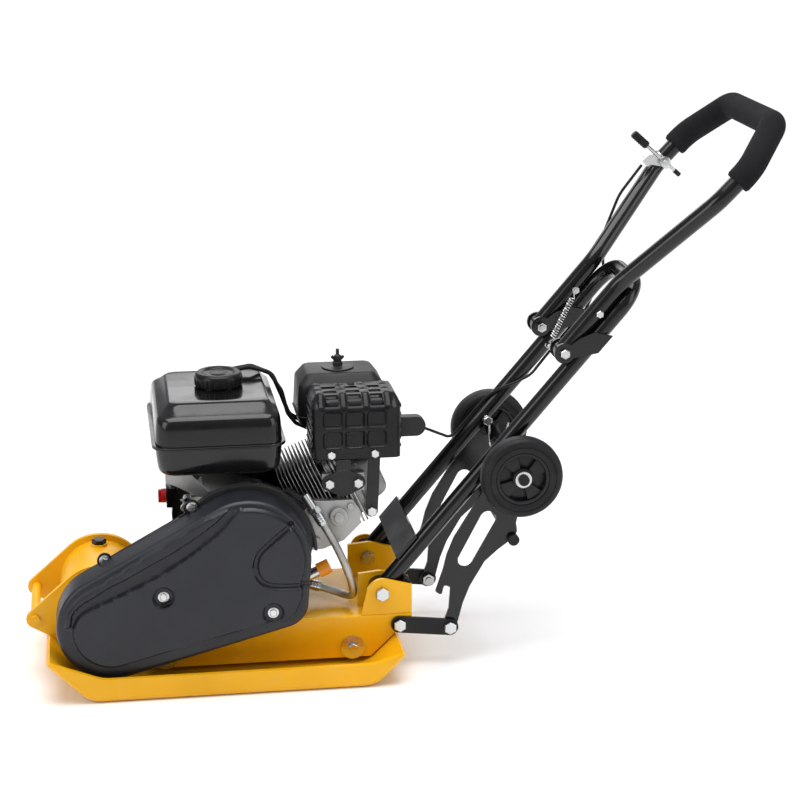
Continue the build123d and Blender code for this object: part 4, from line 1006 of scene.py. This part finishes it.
def cooling_fins():
    """Black fins round the barrel and the head, each with a bare machined edge a little proud of it."""
    fins = Shape()
    edges = Shape()
    head_fins = Shape()
    for index in range(BARREL_FINS):
        start = BARREL_START + BARREL_PITCH * index
        low = -60 + index * 1.2
        reach = 66 - 0.05 * (index - 5) ** 2
        bore_block(fins, plate(start, FIN_THICKNESS), 62, low, reach, 10)
        bore_block(edges, plate(start + 0.5, FIN_EDGE), 62.4, low - 0.5, reach + 0.5, 10)
    bore_block(fins, plate(84, 68), 46, -46, 46, 30)
    for index in range(HEAD_FINS):
        start = HEAD_START + HEAD_PITCH * index
        bore_block(head_fins, plate(start, FIN_THICKNESS), 61, -52, 56, 9)
        bore_block(edges, plate(start + 0.5, FIN_EDGE), 61.4, -52.5, 56.5, 9)
    fins.piece("barrel_fins", "black_cast", "chassis")
    edges.piece("fin_edges", "casting", "chassis")
    head_fins.piece("head_fins", "black_cast", "chassis")


def valve_cover():
    """Domed cover on the head, held by four bolts."""
    cover = Shape()
    dome = [
        (188.1, 0), (193, 0), (194, 3), (198, 4), (212, 6), (219, 8), (223, 11), (225.4, 15), (226, 20),
        (226, 28),
    ]
    bore_block(cover, dome, 46, -44, 36, 16)
    for across in (-36, 28):
        for y in (-34, 44):
            cover.hexagon(on_bore(193, across, y), (cos(BORE_TILT), 0, sin(BORE_TILT)), 10, 6)
    cover.piece("rocker_cover", "casting", "chassis", ("valve_cover",))


def tank_brackets():
    """Pressed steel legs and governor linkage under the front of the tank."""
    legs = Shape()
    near_leg = [(-78, 302), (-78, 288), (-60, 280), (-32, 264), (-20, 264), (-16, 272), (-44, 302)]
    legs.prism(near_leg, -62, -59)
    legs.prism([(-78, 302), (-78, 288), (-20, 264), (-16, 272), (-44, 302)], 116, 119)
    legs.box((-78, -62, 299), (-44, 119, 302))
    legs.prism([(-58, 262), (-48, 266), (-26, 238), (-30, 222), (-40, 222), (-38, 240)], -66, -63)
    legs.piece("tank_brackets", "casting", "chassis", bevel=0.8)
    rods = Shape()
    rods.tube(bent([(-42, -58, 264), (-30, -56, 264), (20, -58, 276), (60, -58, 282)], [12, 30], 3), 1.6, 10)
    rods.tube(bent([(-46, -62, 266), (-58, -58, 246), (-32, -40, 226)], [8], 2), 1.4, 10)
    rods.rod((-48, -66, 262), (-48, -54, 262), 5, 20, edge=0.8)
    rods.rod((-30, -67, 230), (-30, -60, 230), 6, 20, edge=0.8)
    rods.piece("governor_linkage", "zinc", "chassis")


def hoses():
    """Two fuel hoses that run close together from the tank to the carburettor."""
    first = [
        (26, 88, 411), (60, 96, 414), (92, 96, 400), (106, 94, 366), (116, 88, 338), (146, 84, 322),
        (184, 84, 320),
    ]
    second = [
        (16, 74, 410), (56, 82, 416), (86, 78, 408), (104, 70, 380), (112, 66, 346), (124, 66, 330),
        (150, 72, 316),
    ]
    pair = Shape().tube(bent(first, [14, 20, 22, 18, 14], 3), 3.4, 16)
    pair.tube(bent(second, [14, 16, 20, 16, 12], 3), 3.0, 16)
    pair.piece("fuel_hoses", "rubber", "chassis", ("fuel_hose",))


# ---- belt guard details ----
EDGE_BOLTS = ((-169, 191), (-43, 265))


def belt_guard_details():
    """Bolts and rubber grommets round the guard's edge, and the bright strip behind it."""
    washers = Shape()
    bolts = Shape()
    for x, z in EDGE_BOLTS:
        washers.rod((x, -101, z), (x, -106, z), 10, 32, edge=0.8)
        bolts.rod((x, -106, z), (x, -107.5, z), 8, 32, edge=0.4).hexagon((x, -107.5, z), (0, -1, 0), 10, 6)
    for x, z in COVER_BOLTS:
        bolts.rod((x, -157, z), (x, -158.4, z), 8, 32, edge=0.4)
    washers.piece("guard_grommets", "rubber", "chassis")
    bolts.piece("guard_edge_bolts", "zinc", "chassis")
    strip = Shape().prism([(-144, 190), (-60, 237), (-62, 249), (-147, 202)], -104.2, -103.5)
    strip.piece("edge_strip", "casting", "chassis")


# ---- throttle cable across the two handle pivots ----
CABLE_RADIUS = 2.2


def throttle_cable():
    """The two lengths of cable by the handle's two pivots, each a fixed bent tube."""
    low = bent([(258, 46, 336), (300, 50, 326), on_handle(222, 17, 74), on_handle(235, 16, 75)], [60, 12], 3)
    first = Shape().tube(low, CABLE_RADIUS, 14)
    first = first.piece("cable_at_engine", "cable_black", None, ("throttle_cable_engine",))
    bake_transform(first)
    route = [on_handle(535.3, -13.9, 98.1), on_handle(565, -8, 108.1)]
    route += [(604, 122, 592), (630, 132, 652), (664, 133.6, 696)]
    second = Shape().tube(bent(route, [30, 60, 90], 3), CABLE_RADIUS, 14)
    second = second.piece("cable_at_hinge", "cable_black", None, ("throttle_cable_upper",))
    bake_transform(second)


# ---- cooling duct beside the barrel ----
def side_duct():
    """Small duct with a raised pad on its face."""
    duct = Shape().prism([(72, 258), (98, 276), (134, 252), (110, 232)], -78, -66)
    duct.prism([(84, 256), (99, 266), (120, 252), (108, 242)], -81, -77)
    duct.piece("side_duct", "black_satin", "chassis", bevel=2.0)


# ---- throttle lever ----
LEVER_PIVOT = Vector((700.3, 134.5, 699.6))
LEVER_AWAY = Vector((-0.752, 0, 0.658))


def throttle_lever():
    """Steel arm on its pivot, with a ribbed knob at one end and a small one at the other."""
    pivot, away = LEVER_PIVOT, LEVER_AWAY
    arm = Shape().rod(pivot + Vector((0, -4, 0)), pivot + Vector((0, 3.5, 0)), 8.5, 40, edge=0.8)
    arm.rod(pivot + away * 6, pivot + away * 46, 2.6, 20).rod(pivot - away * 6, pivot - away * 24, 2.6, 20)
    arm.hexagon(pivot + Vector((0, -4, 0)), (0, -1, 0), 9, 2.4)
    arm.piece("lever_arm", "zinc", "throttle", ("throttle_lever",))
    tips = Shape().rod(pivot + away * 38, pivot + away * 68, 6, 32, edge=1.8)
    for s in range(42, 63, 4):
        tips.rod(pivot + away * s, pivot + away * (s + 1.6), 6.5, 32, edge=0.5)
    tips.rod(pivot - away * 20, pivot - away * 32, 3.6, 24, edge=1.2)
    tips.piece("lever_tips", "black_satin", "throttle")


# ---- drain hose fittings ----
def hose_fittings():
    """Crimped collar and nut at each end of the drain hose."""
    ends = Shape()
    for here, following in ((HOSE_ROUTE[0], HOSE_ROUTE[1]), (HOSE_ROUTE[-1], HOSE_ROUTE[-2])):
        tip = Vector(here)
        into = (Vector(following) - tip).normalized()
        ends.rod(tip - into * 3, tip + into * 16, 7.6, 32, edge=0.8)
        for s in (2, 6, 10):
            ends.rod(tip + into * s, tip + into * (s + 1.6), 8.2, 32, edge=0.5)
        ends.hexagon(tip - into * 3, tuple(-into), 15, 10)
    ends.piece("hose_crimps", "zinc", "chassis")


# ---- the object ----
foam_grip()
handle_springs()
wheel("left", -121.5, "wheel_left")
wheel("right", 121.5, "wheel_right")
belt_cover()
tank()
fuel_cap()
muffler_guard()
muffler_can()
air_cleaner()
crankcase()
cooling_fins()
valve_cover()
tank_brackets()
hoses()
belt_guard_details()
hose_fittings()
throttle_lever()
throttle_cable()
side_duct()
